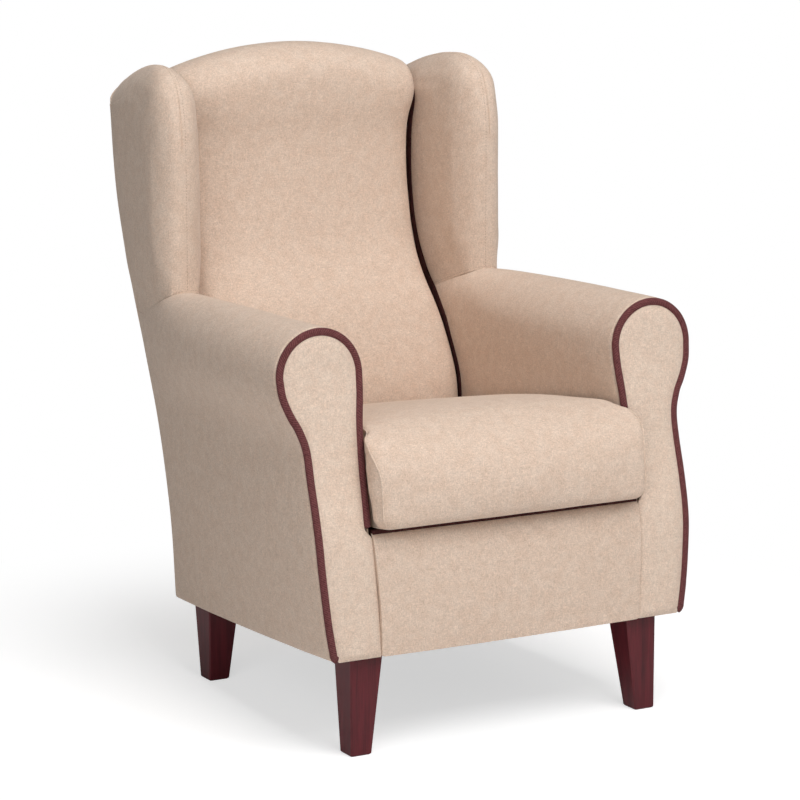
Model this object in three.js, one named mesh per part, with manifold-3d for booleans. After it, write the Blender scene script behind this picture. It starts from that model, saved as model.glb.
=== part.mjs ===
// Fireside wing chair with scroll arms, a loose seat cushion and four tapered legs.
// Millimetres, +Z up. The chair faces -Y and X = 0 is its middle plane.
// Left and right are as seen from in front. Heights are above the floor, and depths
// run to the rear from a line just ahead of the front legs.
import * as THREE from 'three';
import { mergeVertices } from 'three/addons/utils/BufferGeometryUtils.js';
import Module from 'manifold-3d';

const wasm = await Module();
wasm.setup();

// Fits
const gap = 0.3;                 // between fixed neighbours
const panelGap = 0.5;            // between the raked arm panels
const pipingGap = 0.8;           // from a piping to the edge that it runs round
const overrun = 20;              // how far a cutting shape passes a face

// Body
const seatHalf = 250;            // middle plane to an arm, at the deck
const armLean = 20;              // how far the scroll leans in over the seat
const rearLeanShare = 0.15;      // what is left of that at the rear
const rollRadius = 75;           // scroll of the arm
const rollOverhang = 37;         // scroll beyond the waist of the arm
const footTuck = 17;             // how far the outside draws in at its lower edge
const rearTaper = 41;            // how much narrower the rear corner is than the waist
const rollCentreHeight = 595;
const rollFall = 40;             // how far the scroll sinks by its rear end
const undersideFront = 160;      // lower edge of the body at its front
const frameTilt = THREE.MathUtils.degToRad(3.2);
const bodyForward = 15;          // arm panels ahead of that line, at the bottom
const frontRake = 77;            // how far the arm panels lean back
const bodyDepth = 599;           // to the rear lower edge
const backRake = 239;            // rear lower edge to the rear edge of the wing top
const backHeight = 1052;         // top of the arched back
const archRise = 42;             // arch above the wings' inner edges
const archInset = 8;             // ends of the arch, in from the arm's inside
const shoulderDrop = 92;         // rear corner of the wing, below the top of the back
const wingDrop = 22;             // top of the wing, below the top of the back
const wingCurveHeight = 125;     // of the stretch where the wing's front edge curves back
const wingLead = 41;             // front edge of the wing, ahead of the rear lower edge
const wingSeamOut = 40;          // seam along the wing's edge, out from the arm's inside

// Padding and covers
const pipingRadius = 4.6;
const facingDome = 4;
const outerWall = 15;            // padding on the outside of an arm
const innerWall = 20;            // padding on the inside of an arm
const rollRoofShare = 0.9;       // underside of the scroll's padding, up to its centre
const borderThickness = 14;
const borderBelly = 4;
const borderShoulder = 12;       // rounded top edge of the front border
const wingRound = 43;            // half the wing's thickness at its front
const wingRearHalf = 31;         // half the wing's thickness at its rear
const wingRearInset = 10;        // wing's inside at its rear, in from the arm's inside
const wingInnerDrop = 60;        // wing's lower edge inside the arm, below the scroll's top
const wingOuterDrop = 80;        // and outside the arm
const panelThickness = 6;        // outside back
const panelCrown = 8;
const backPadInset = 8;          // side of the back pad at the seat, in from the arm
const backPadWaist = 24;         // how much narrower it is between the wings
const backEdgeRound = 28;
const backCrown = 18;
const backTopRound = 60;         // front edge of the back's top
const backRearRound = 92;        // rear edge of the back's top
const panelDrop = 50;            // outside back below the top of the arch
const backFootLead = 58;         // front of the back pad at the deck, ahead of the rear lower edge
const backFaceLean = 158;        // from there to its most rearward line
const backFaceFootDrop = 63;     // lowest level of its curve, below the deck's front edge
const backFaceTopDrop = 172;     // most rearward line, below the top of the back
const deckHeight = 358;          // top of the deck at its front edge
const deckSlope = THREE.MathUtils.degToRad(6.5);
const deckThickness = 28;

// Cushion
const cushionSideGap = 11;       // to an arm
const cushionRearGap = 15;       // to the back pad, at the deck
const cushionEar = 14;           // how much wider it is ahead of the arm panels
const cushionEarLength = 18;
const cushionThickness = 162;    // at its sides
const cushionCrown = 10;         // how much thicker it is in its middle
const cushionThinning = 22;      // how much thinner it is at its rear
const cushionFront = 34;         // how far it stands ahead of the deck
const cushionBelly = 14;         // how far the front bulges in its middle
const cushionWaist = 4;          // how far the sides draw in between the corners
const cushionCorner = 32;
const cushionFrontRound = 70;    // rounded front upper edge
const cushionFrontUnder = 20;    // rounded front lower edge
const cushionSideRound = 20;
const wadding = 16;              // padding between the cover and the foam core
const zipWidth = 5;
const zipLength = 360;

// Timber, springs and metal
const railThickness = 25;
const sideRailDrop = 92;         // top of a side rail, below the deck's front edge
const postWidth = 44.7;
const postDepth = 45;
const armRailHeight = 25;
const armRailInset = 12;
const boardThickness = 18;
const boardInset = 9;
const wingBoardMargin = 34;
const topRailHeight = 70;
const tailRailHeight = 60;
const dustThickness = 1;
const dustMargin = 3;            // dust cover's edge, in from the outside of the side rails
const strapWidthShare = 0.13;    // of the room between the back's rails
const strapThickness = 2;
const strapCount = 4;
const springWire = 3.8;
const springCount = 5;
const springSideRoom = 70;       // outermost springs' middles, in from the arms
const springHalfWidth = 24;
const springBends = 6;
const springLobe = 12;
const clipLength = 26;
const clipWidth = 18;
const clipBase = 2;

// Legs
const frontLegFront = 5;
const legFoot = 37;
const legTop = 57;
const legInset = 43;             // outer face, in from the arm's lower edge
const rearLegLead = 96;          // front face of a rear leg, ahead of the rear lower edge
const legChamfer = 2;
const boltRadius = 4;
const boltTail = 2;              // bolt past its nut
const boltInLeg = 48;
const nutSides = 6;
const nutRadius = 7.5;
const nutHeight = 6.5;
const washerRadius = 11;
const washerHeight = 1.6;
const boltSetback = 6;           // bolt from the middle of the leg, away from the rails
const boltRoom = 2;              // washer to the front rail
const blockHeight = 45;
const blockWidth = 78;
const blockDepth = 80;
const blockChamfer = 32;

// Meshing
const arcSteps = 6;
const wingEdgeSteps = 18;
const levelSteps = 18;
const rakeSteps = 24;
const boltSides = 12;
const pipingSides = 8;
const pipingSteps = 72;
const springSides = 5;
const springSteps = 56;

// Shape of the curves, as shares of the sizes that they follow
const frontRakeShares = [[0, 0], [0.19, 0.08], [0.33, 0.18], [0.44, 0.35], [0.55, 0.57], [0.67, 0.75], [0.77, 0.87], [0.86, 0.96], [1, 1]];
const backRakeShares = [[0, 0], [0.18, 0.08], [0.35, 0.25], [0.5, 0.47], [0.57, 0.585], [0.68, 0.75], [0.82, 0.91], [1, 1]];
const tuckShares = [[0, 1], [0.12, 0.53], [0.23, 0.24], [0.37, 0], [1, 0]];
const overhangShares = [[0, 0], [0.65, 0], [0.75, 0.05], [0.82, 0.31], [0.86, 0.57], [0.9, 0.78], [0.94, 0.93], [1, 1]];
const leanBelowShares = [[0, 0.6], [0.36, 0.5], [0.54, 0.35], [0.77, 0], [1, 0]];
const leanAboveShares = [[0, 0], [0.08, 0], [0.27, 0.27], [0.69, 0.66], [0.87, 0.93], [1, 1]];
const fallShares = [[0, 0], [0.4, 0.1], [0.7, 0.32], [0.85, 0.6], [1, 1]];
const backFaceShares = [[0, 0], [0.145, 0.01], [0.24, 0.02], [0.3, 0.06], [0.35, 0.13], [0.436, 0.29], [0.521, 0.45], [0.607, 0.64], [0.692, 0.8], [0.778, 0.89], [0.863, 0.955], [0.95, 0.99], [1.03, 1], [1.12, 0.96], [1.29, 0.93]];
const backWaistShares = [[0, 0.1], [0.24, 0.05], [0.35, 0], [0.43, 0.06], [0.49, 0.28], [0.58, 0.68], [0.69, 0.86], [0.83, 0.94], [0.96, 1], [1.06, 0.94], [1.12, 0.4], [1.17, 0.14], [1.23, 0.1]];
const backCrownShares = [[0, 0], [0.25, 0], [0.35, 0.4], [0.48, 0.9], [0.6, 1], [1, 1]];
const wingEdgeShares = [[0, 0], [0.015, 0.3], [0.065, 0.68], [0.15, 0.87], [0.28, 0.985], [0.42, 1], [0.55, 0.985], [0.7, 0.93], [0.86, 0.82], [1, 0.68], [1.4, 0.1]];
const armStationShares = [0, 0.14, 0.28, 0.42, 0.56, 0.68, 0.79, 0.9, 1];
const railStationShares = [0.06, 0.3, 0.6, 0.9];
const railWaistShare = 0.72;     // the level whose width the arm rail follows
const domeShares = [0, 0.75, 1, 0.75, 0];
const cushionEdgeShares = [0, 0.35, 0.7];
// Level of each ring of the cushion, and how far it is drawn in at the sides, as
// a share of the side's roundness, and at the front, as a share of the front's.
const cushionLevelShares = [0, 0.05, 0.16, 0.4, 0.62, 0.78, 0.89, 0.96, 1];
const cushionSideShares = [0.8, 0.3, 0.05, 0, 0.02, 0.1, 0.32, 0.68, 1.3];
const cushionFrontShares = [1, 0.3, 0, 0, 0.1, 0.26, 0.5, 0.85, 1.35];
const cushionThinShares = [0.3, 1];
const cushionCrownShares = [[0.22, 0.5], [0.45, 0.8], [0.7, 0.96], [0.93, 1]];
const acrossShares = [-1, -0.985, -0.95, -0.88, -0.66, -0.33, 0, 0.33, 0.66, 0.88, 0.95, 0.985, 1];

const lerp = THREE.MathUtils.lerp;

// Worked-out sizes
const rollCentreX = seatHalf - armLean + rollRadius;
const waistHalf = rollCentreX + rollRadius - rollOverhang;
const rearHalf = waistHalf - rearTaper;
const archHalf = seatHalf - archInset;
const backPadHalf = seatHalf - backPadInset;
const wingSeamX = seatHalf + wingSeamOut;
const wingInnerRear = seatHalf - wingRearInset;
const wingFront = bodyDepth - wingLead;
const backFaceFoot = bodyDepth - backFootLead;
const cushionHalf = seatHalf - cushionSideGap;
const cushionDepth = backFaceFoot - cushionRearGap + cushionFront;
const springRowWidth = (seatHalf - springSideRoom) * 2;
const legOuterX = waistHalf - footTuck - legInset;
const rearLegFront = bodyDepth - rearLegLead;
const rollTopHeight = rollCentreHeight + rollRadius;
const shoulderHeight = backHeight - shoulderDrop;
const wingHeight = backHeight - wingDrop;
const wingFrontHeight = wingHeight - wingCurveHeight;
const wingInnerFoot = rollTopHeight - wingInnerDrop;
const wingOuterFoot = rollTopHeight - wingOuterDrop;
const backFaceFootHeight = deckHeight - backFaceFootDrop;
const backFaceTopHeight = backHeight - backFaceTopDrop;
const undersideRear = undersideFront - bodyDepth * Math.tan(frameTilt);
const frameBottom = undersideFront + dustThickness + gap;
const sideRailHeight = deckHeight - sideRailDrop - frameBottom;
const facingThickness = pipingRadius * 2;

// Finishes
const cover = new THREE.MeshStandardMaterial({ color: 0xc9ab94, roughness: 0.95, metalness: 0 });
const facingCover = new THREE.MeshStandardMaterial({ color: 0xd8bfa8, roughness: 0.95, metalness: 0 });
const pipingCover = new THREE.MeshStandardMaterial({ color: 0x4d2226, roughness: 0.9, metalness: 0 });
const stainedWood = new THREE.MeshStandardMaterial({ color: 0x3d1518, roughness: 0.4, metalness: 0 });
const rawWood = new THREE.MeshStandardMaterial({ color: 0xc8a070, roughness: 0.8, metalness: 0 });
const plywood = new THREE.MeshStandardMaterial({ color: 0xb98f5e, roughness: 0.8, metalness: 0 });
const foam = new THREE.MeshStandardMaterial({ color: 0xe9e2cc, roughness: 1, metalness: 0 });
const webbing = new THREE.MeshStandardMaterial({ color: 0x2c2c30, roughness: 0.9, metalness: 0 });
const lining = new THREE.MeshStandardMaterial({ color: 0x1c1c1e, roughness: 1, metalness: 0 });
const steel = new THREE.MeshStandardMaterial({ color: 0x9a9da1, roughness: 0.4, metalness: 1 });

// A smooth function through points [at, value], carried on straight past its ends.
function smoothThrough(points) {
  const last = points.length - 1;
  const slopes = points.map((point, i) => {
    const before = points[Math.max(i - 1, 0)];
    const after = points[Math.min(i + 1, last)];
    return (after[1] - before[1]) / (after[0] - before[0]);
  });
  return (at) => {
    if (at <= points[0][0]) return points[0][1] + slopes[0] * (at - points[0][0]);
    if (at >= points[last][0]) return points[last][1] + slopes[last] * (at - points[last][0]);
    const i = points.findIndex((point) => point[0] >= at) - 1;
    const width = points[i + 1][0] - points[i][0];
    const u = (at - points[i][0]) / width;
    const rise = u * u * (3 - 2 * u);
    const lead = u * (1 - u) * (1 - u) * width * slopes[i];
    const trail = u * u * (1 - u) * width * slopes[i + 1];
    return points[i][1] * (1 - rise) + points[i + 1][1] * rise + lead - trail;
  };
}

const scaled = (shares, from, size, low, height) => smoothThrough(
  shares.map(([up, along]) => [low + up * height, from + along * size]),
);

// Side view of the body
const frontFace = scaled(frontRakeShares, -bodyForward, frontRake, undersideFront, rollTopHeight - undersideFront);
const rearFace = scaled(backRakeShares, bodyDepth, backRake, undersideRear, shoulderHeight - undersideRear);
const backFaceRise = backFaceTopHeight - backFaceFootHeight;
const backFace = scaled(backFaceShares, backFaceFoot, backFaceLean, backFaceFootHeight, backFaceRise);
const backSwell = scaled(backCrownShares, 0, backCrown, backFaceFootHeight, backFaceRise);
const backHalf = scaled(backWaistShares, backPadHalf, -backPadWaist, backFaceFootHeight, backFaceRise);
const panelFront = (height) => rearFace(height) - panelThickness;
const postFront = (height) => panelFront(height) - gap - postDepth;
const strapFront = (height) => postFront(height) - gap - strapThickness;
const underside = (depth) => undersideFront - depth * Math.tan(frameTilt);
const deckTop = (depth) => deckHeight - depth * Math.tan(deckSlope);
const deckBottom = (depth) => deckTop(depth) - deckThickness;
const springBottom = (depth) => deckBottom(depth) - gap - springWire;
const railTop = (depth) => springBottom(depth) - clipBase - gap;

// A closed body of triangles with its faces pointing out.
function closedBody(triangles) {
  let volume = 0;
  const cross = new THREE.Vector3();
  for (const [a, b, c] of triangles) volume += a.dot(cross.crossVectors(b, c));
  const places = [];
  for (const [a, b, c] of triangles) {
    const ordered = volume > 0 ? [a, b, c] : [a, c, b];
    for (const corner of ordered) places.push(corner.x, corner.y, corner.z);
  }
  const geometry = new THREE.BufferGeometry();
  geometry.setAttribute('position', new THREE.Float32BufferAttribute(places, 3));
  geometry.computeVertexNormals();
  return geometry;
}

function addTriangle(triangles, a, b, c) {
  if (a.equals(b) || b.equals(c) || c.equals(a)) return;
  triangles.push([a, b, c]);
}

function addQuad(triangles, a, b, c, d) {
  addTriangle(triangles, a, b, c);
  addTriangle(triangles, a, c, d);
}

// Joins rings of the same even number of points. Each ring goes up one side and
// down the other, so the ends are closed by strips from side to side.
function loft(rings) {
  const triangles = [];
  const count = rings[0].length;
  for (let j = 0; j + 1 < rings.length; j += 1) {
    for (let i = 0; i < count; i += 1) {
      const next = (i + 1) % count;
      addQuad(triangles, rings[j][i], rings[j][next], rings[j + 1][next], rings[j + 1][i]);
    }
  }
  const first = rings[0];
  const last = rings[rings.length - 1];
  for (let i = 0; i + 1 < count / 2; i += 1) {
    const far = count - 1 - i;
    addQuad(triangles, first[far], first[far - 1], first[i + 1], first[i]);
    addQuad(triangles, last[i], last[i + 1], last[far - 1], last[far]);
  }
  return closedBody(triangles);
}

// Joining and cutting
function solidOf(geometry) {
  const bare = geometry.clone();
  bare.deleteAttribute('normal');
  bare.deleteAttribute('uv');
  const merged = mergeVertices(bare);
  return new wasm.Manifold(new wasm.Mesh({
    numProp: 3,
    vertProperties: Float32Array.from(merged.attributes.position.array),
    triVerts: Uint32Array.from(merged.index.array),
  }));
}

function geometryOf(solid) {
  const mesh = solid.getMesh();
  const geometry = new THREE.BufferGeometry();
  geometry.setAttribute('position', new THREE.BufferAttribute(Float32Array.from(mesh.vertProperties), 3));
  geometry.setIndex(new THREE.BufferAttribute(Uint32Array.from(mesh.triVerts), 1));
  const flat = geometry.toNonIndexed();
  flat.computeVertexNormals();
  return flat;
}

// The largest body that is left of a shape once the tools are taken from it.
function cut(geometry, ...tools) {
  let solid = solidOf(geometry);
  for (const tool of tools) solid = solid.subtract(solidOf(tool));
  const bodies = solid.decompose();
  bodies.sort((a, b) => b.volume() - a.volume());
  return geometryOf(bodies[0]);
}

function fuse(first, ...others) {
  let solid = solidOf(first);
  for (const other of others) solid = solid.add(solidOf(other));
  return geometryOf(solid);
}

function mirrored(geometry) {
  const copy = geometry.index ? geometry.toNonIndexed() : geometry.clone();
  const place = copy.attributes.position;
  const triangles = [];
  for (let i = 0; i < place.count; i += 3) {
    const corners = [i, i + 1, i + 2].map((k) => new THREE.Vector3(-place.getX(k), place.getY(k), place.getZ(k)));
    triangles.push([corners[0], corners[2], corners[1]]);
  }
  return closedBody(triangles);
}

// A box between two corners.
function block(low, high) {
  const box = new THREE.BoxGeometry(high[0] - low[0], high[1] - low[1], high[2] - low[2]);
  return box.translate((high[0] + low[0]) / 2, (high[1] + low[1]) / 2, (high[2] + low[2]) / 2);
}

const fromSideView = new THREE.Matrix4().makeBasis(
  new THREE.Vector3(0, 1, 0),
  new THREE.Vector3(0, 0, 1),
  new THREE.Vector3(1, 0, 0),
);

// An outline in the side view, [depth, height], made solid from one X to another.
function sideSlab(outline, fromX, toX) {
  const shape = new THREE.Shape(outline.map(([depth, height]) => new THREE.Vector2(depth, height)));
  const slab = new THREE.ExtrudeGeometry(shape, { depth: toX - fromX, bevelEnabled: false });
  return slab.applyMatrix4(fromSideView).translate(fromX, 0, 0);
}

// Heights in even steps.
function levels(low, high, count) {
  return Array.from({ length: count + 1 }, (unused, i) => low + (high - low) * i / count);
}

// A curve of the side view with straight runs between shared levels, so that
// neighbours that follow it bend at the same heights.
const rakeStep = backHeight / rakeSteps;
function straightened(curve, height) {
  const below = Math.floor(height / rakeStep) * rakeStep;
  return lerp(curve(below), curve(below + rakeStep), (height - below) / rakeStep);
}

function sharedLevels(low, high) {
  const between = levels(0, backHeight, rakeSteps).filter((height) => height > low && height < high);
  return [low, ...between, high];
}

// A member that follows the rake between two curves of the side view.
function rakedSlab(frontCurve, rearCurve, low, high, fromX, toX) {
  const heights = sharedLevels(low, high);
  const outline = [
    ...heights.map((height) => [straightened(frontCurve, height), height]),
    ...heights.reverse().map((height) => [straightened(rearCurve, height), height]),
  ];
  return sideSlab(outline, fromX, toX);
}

// Drops a level seat-frame piece onto the frame's backward tilt.
function tilted(geometry) {
  const shear = new THREE.Matrix4().makeShear(0, 0, 0, -Math.tan(frameTilt), 0, 0);
  return geometry.applyMatrix4(shear);
}

// Sections of an arm
const armTuck = smoothThrough(tuckShares);
const armOverhang = smoothThrough(overhangShares);
const leanBelow = smoothThrough(leanBelowShares);
const leanAbove = smoothThrough(leanAboveShares);
const armFall = smoothThrough(fallShares);

const armFront = (height) => frontFace(height) + facingThickness + panelGap;
const armRear = (height) => panelFront(height) - gap;

// One station of an arm: points on its inside going up, and on its outside. The
// share is 0 at the front and 1 at the rear, and grow swells the section.
function armSection(share, grow = 0) {
  const centre = rollCentreHeight - rollFall * armFall(share);
  const bottom = lerp(undersideFront, undersideRear, share);
  const outward = (frontX) => lerp(frontX, rearHalf, share * share);
  const lean = armLean * lerp(1, rearLeanShare, share * share);
  const deckFoot = deckBottom(share * bodyDepth);
  const deckFace = deckTop(share * bodyDepth);
  const section = [];
  for (const up of levels(0, 1, levelSteps)) {
    const height = lerp(bottom, centre, up);
    const outerX = outward(waistHalf - footTuck * armTuck(up) + rollOverhang * armOverhang(up));
    let inward = 0;
    if (height < deckFoot) inward = leanBelow((height - bottom) / (deckFoot - bottom));
    if (height > deckFace) inward = leanAbove((height - deckFace) / (centre - deckFace));
    section.push({ height, innerX: seatHalf - lean * inward - grow, outerX: outerX + grow });
  }
  const innerX = seatHalf - lean - grow;
  const outerX = outward(rollCentreX + rollRadius) + grow;
  const middleX = (innerX + outerX) / 2;
  for (let i = 1; i <= arcSteps; i += 1) {
    const angle = i * Math.PI / 2 / arcSteps;
    const reach = i === arcSteps ? 0 : (outerX - innerX) / 2 * Math.cos(angle);
    const height = centre + (rollRadius + grow) * Math.sin(angle);
    section.push({ height, innerX: middleX - reach, outerX: middleX + reach });
  }
  return section;
}

// A ring of points round an arm section, between the raked front and the rear.
function armRing(section, share) {
  const place = (x, height) => new THREE.Vector3(x, lerp(armFront(height), armRear(height), share), height);
  return [
    ...section.map(({ innerX, height }) => place(innerX, height)),
    ...section.map(({ outerX, height }) => place(outerX, height)).reverse(),
  ];
}

function armLoft(shares, sectionAt) {
  return loft(shares.map((share) => armRing(sectionAt(share), share)));
}

// The part of an arm section between two shares of the height to the scroll's
// centre, with its walls drawn in.
function armCore(share, fromShare, toShare, inset, outset) {
  return armSection(share)
    .slice(Math.round(fromShare * levelSteps), Math.round(toShare * levelSteps) + 1)
    .map(({ height, innerX, outerX }) => ({ height, innerX: innerX + inset, outerX: outerX - outset }));
}

// An open line of points moved square to itself, to the right of its direction.
function drawnIn(line, inset) {
  return line.map((point, i) => {
    const before = line[Math.max(i - 1, 0)];
    const after = line[Math.min(i + 1, line.length - 1)];
    const along = after.clone().sub(before).normalize();
    return new THREE.Vector2(point.x + along.y * inset, point.y - along.x * inset);
  });
}

// The outline of the arm panel in front view, drawn in square to its edge: pairs
// of an inner and an outer point from the bottom to the top. Beside the front
// border, below the deck, the inner edge has an inset of its own.
function panelOutline(inset, borderInset = inset) {
  const section = armSection(0);
  const inner = section.map(({ innerX, height }) => new THREE.Vector2(innerX, height));
  const outer = section.map(({ outerX, height }) => new THREE.Vector2(outerX, height)).reverse();
  const edge = [...inner, ...outer.slice(1)];
  const drawn = drawnIn(edge, inset);
  const beside = drawnIn(edge, borderInset);
  const top = section.length - 1;
  return section.map(({ height }, i) => ({
    inner: height < deckHeight ? beside[i] : drawn[i],
    outer: drawn[2 * top - i],
  }));
}

// A plate behind the arm panel outline, between two distances from its front face.
function armPlate(outline, fromDepth, toDepth, domes = [0, 0]) {
  const rings = outline.map(({ inner, outer }) => {
    const front = domes.map((dome, i) => {
      const across = i / (domes.length - 1);
      const x = lerp(inner.x, outer.x, across);
      const height = lerp(inner.y, outer.y, across);
      return new THREE.Vector3(x, frontFace(height) + fromDepth - dome, height);
    });
    const back = domes.map((unused, i) => {
      const across = 1 - i / (domes.length - 1);
      const x = lerp(inner.x, outer.x, across);
      const height = lerp(inner.y, outer.y, across);
      return new THREE.Vector3(x, frontFace(height) + toDepth, height);
    });
    return [...front, ...back];
  });
  return loft(rings);
}

const pipingInset = pipingRadius * 2 + gap + pipingGap;
const boardFront = facingThickness + panelGap;

function armFacing() {
  const domes = domeShares.map((share) => share * facingDome);
  return armPlate(panelOutline(pipingInset, 0), 0, facingThickness, domes);
}

function armBoard(grow = 0) {
  const outline = panelOutline(boardInset - grow);
  const foot = grow > 0 ? undersideFront - overrun : frameBottom;
  outline[0].inner.y = foot;
  outline[0].outer.y = foot;
  return armPlate(outline, boardFront - grow * 2, boardFront + boardThickness + grow);
}

function armPiping() {
  const pairs = panelOutline(pipingRadius + gap);
  const onFront = (point) => new THREE.Vector3(
    point.x,
    frontFace(point.y) + facingThickness - pipingRadius,
    point.y,
  );
  const first = pairs.findIndex(({ inner }) => inner.y > deckHeight);
  const up = pairs.slice(first).map(({ inner }) => onFront(inner));
  const down = pairs.slice(0, -1).reverse().map(({ outer }) => onFront(outer));
  const curve = new THREE.CatmullRomCurve3([...up, ...down]);
  const section = new THREE.Shape();
  section.absarc(0, 0, pipingRadius, 0, Math.PI * 2);
  return new THREE.ExtrudeGeometry(section, {
    extrudePath: curve,
    steps: pipingSteps,
    curveSegments: pipingSides / 2,
  });
}

// The region behind a curve of the side view, as a cutting shape.
function behind(curve, fromX, toX, low, high) {
  const deep = (height) => curve(height) + backRake + backRake;
  return rakedSlab(curve, deep, low, high, fromX, toX);
}

// Everything under the deck, inside an outer limit.
function underDeck(fromX, toX) {
  const front = -bodyForward - overrun;
  const rear = bodyDepth + backRake;
  return sideSlab([
    [front, 0],
    [rear, 0],
    [rear, deckBottom(rear) - gap],
    [front, deckBottom(front) - gap],
  ], fromX, toX);
}

function armPad() {
  const solid = armLoft(armStationShares, (share) => armSection(share));
  const past = overrun / bodyDepth;
  const channelShares = [-past, ...armStationShares.slice(1, -1), 1 + past];
  const channel = armLoft(channelShares, (share) => {
    const core = armCore(share, 0, rollRoofShare, innerWall, outerWall);
    core[0].height -= overrun;
    return core;
  });
  const besidePost = behind(
    (height) => strapFront(height) - gap,
    seatHalf - armLean - overrun,
    postOuterX + gap,
    undersideRear - overrun,
    rollTopHeight + overrun,
  );
  const well = underDeck(seatHalf - armLean - overrun, seatHalf + innerWall + overrun);
  return cut(solid, channel, armBoard(gap), well, besidePost, wingBoard(gap));
}

// The rail under the scroll, from the front board to the back post.
function armRail(grow = 0) {
  return armLoft(railStationShares, (share) => {
    const inset = armRailInset - grow;
    const core = armCore(share, railWaistShare, rollRoofShare, innerWall + inset, outerWall + inset);
    const roof = core[core.length - 1];
    const top = roof.height - gap + grow;
    const sides = { innerX: roof.innerX, outerX: core[0].outerX };
    return [{ ...sides, height: top - armRailHeight }, { ...sides, height: top }];
  });
}

// Wings: a slab with a fully rounded front and top edge, set on the arm
const wingDepth = rearFace(shoulderHeight) - wingFront;
const wingFoot = rollCentreHeight - rollFall;

// The wing's edge in side view, drawn in by a margin.
function wingOutline(margin) {
  const rise = wingHeight - wingFrontHeight;
  const curve = new THREE.SplineCurve(wingEdgeShares.map(([along, up]) => (
    new THREE.Vector2(wingFront + along * wingDepth, wingFrontHeight + up * rise)
  )));
  const foot = wingFoot - overrun - wingRound;
  const edge = [new THREE.Vector2(wingFront, foot), ...curve.getPoints(wingEdgeSteps)];
  const drawn = drawnIn(edge, margin);
  drawn[0].y = margin > 0 ? wingFoot - wingBoardMargin : foot;
  const last = drawn[drawn.length - 1];
  return new THREE.Shape([...drawn, new THREE.Vector2(last.x, drawn[0].y)]);
}

// The wing narrows from its front to the rear edge, along the rake of the back.
const wingShare = (depth, height) => (depth - wingFront) / (rearFace(height) - wingFront);
const wingMiddle = (share) => lerp(wingSeamX, wingInnerRear + wingRearHalf, share);
const wingHalf = (share) => lerp(wingRound, wingRearHalf, share);

function wingSlab() {
  const slab = new THREE.ExtrudeGeometry(wingOutline(0), {
    depth: gap,
    bevelEnabled: true,
    bevelThickness: wingRound - gap / 2,
    bevelSize: wingRound,
    bevelOffset: -wingRound,
    bevelSegments: arcSteps - 1,
  });
  slab.translate(0, 0, -gap / 2).applyMatrix4(fromSideView);
  const place = slab.attributes.position;
  for (let i = 0; i < place.count; i += 1) {
    const share = wingShare(place.getY(i), place.getZ(i));
    place.setX(i, wingMiddle(share) + place.getX(i) * wingHalf(share) / wingRound);
  }
  return slab;
}

const postOuterX = wingSeamX - boardThickness - gap;
const postInnerX = postOuterX - postWidth;

function wingBoard(grow = 0) {
  const board = new THREE.ExtrudeGeometry(wingOutline(wingBoardMargin - grow), {
    depth: boardThickness + 2 * grow,
    bevelEnabled: false,
  });
  board.applyMatrix4(fromSideView).translate(wingSeamX - boardThickness - grow, 0, 0);
  const rear = behind((height) => panelFront(height) - gap + grow, 0, waistHalf, wingFoot / 2, backHeight + overrun);
  return grow > 0 ? cut(board, rear) : cut(board, rear, armRail(gap));
}

function wingPads() {
  const low = wingFoot / 2;
  const high = backHeight + overrun;
  const rear = behind((height) => panelFront(height) - gap, 0, waistHalf + overrun, low, high);
  const post = behind((height) => strapFront(height) - gap, 0, postOuterX + gap, low, railPeak + gap);
  const arm = armLoft(armStationShares, (share) => armSection(share, panelGap));
  const below = (height) => (
    block([0, wingFront - overrun, 0], [waistHalf + rollOverhang, bodyDepth + backRake, height])
  );
  const slab = wingSlab();
  const board = wingBoard(gap);
  const inside = block([0, 0, 0], [wingSeamX + gap / 2, bodyDepth + backRake + overrun, high]);
  const outside = block([wingSeamX - gap / 2, 0, 0], [waistHalf + overrun, bodyDepth + backRake + overrun, high]);
  return {
    inner: cut(slab, outside, rear, post, arm, below(wingInnerFoot), board),
    outer: cut(slab, inside, rear, arm, below(wingOuterFoot), board),
  };
}

// Back
const railPeak = backHeight - archRise - backTopRound;
const strapWidth = strapWidthShare * (railPeak - topRailHeight - deckHeight - tailRailHeight);
const archTop = (x) => backHeight - archRise * (x / archHalf) ** 2;

function backPad() {
  const bottom = deckTop(backFaceFoot) + gap;
  const rings = [];
  const straight = levels(0, 1, levelSteps - arcSteps);
  const ringAt = (heightAt, setBack) => {
    const points = acrossShares.map((share) => {
      const height = heightAt(share * archHalf);
      const half = backHalf(height);
      return { share, height, half, x: share * half };
    });
    const front = points.map(({ share, height, half, x }) => {
      const edge = Math.max(Math.abs(x) - (half - backEdgeRound), 0) / backEdgeRound;
      const round = backEdgeRound * (1 - Math.sqrt(Math.max(1 - edge * edge, 0)));
      const crown = backSwell(height) * Math.cos(share * Math.PI / 2);
      return new THREE.Vector3(x, backFace(height) + round - crown + setBack, height);
    });
    const back = [...points].reverse().map(({ height, x }) => (
      new THREE.Vector3(x, panelFront(height) - gap - setBack * backRearRound / backTopRound, height)
    ));
    return [...front, ...back];
  };
  for (const up of straight) {
    rings.push(ringAt((x) => lerp(bottom, archTop(x) - backTopRound, up), 0));
  }
  for (let i = 1; i <= arcSteps; i += 1) {
    const angle = i * Math.PI / 2 / arcSteps;
    const rise = backTopRound * Math.sin(angle);
    rings.push(ringAt((x) => archTop(x) - backTopRound + rise, backTopRound * (1 - Math.cos(angle))));
  }
  const frame = behind(
    (height) => strapFront(height) - gap,
    -archHalf - overrun,
    archHalf + overrun,
    bottom - overrun,
    railPeak + gap,
  );
  return cut(loft(rings), frame);
}

function backStrap(height) {
  const half = postInnerX + (postOuterX - postInnerX) / 4;
  return rakedSlab(strapFront, (at) => postFront(at) - gap, height, height + strapWidth, -half, half);
}

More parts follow.
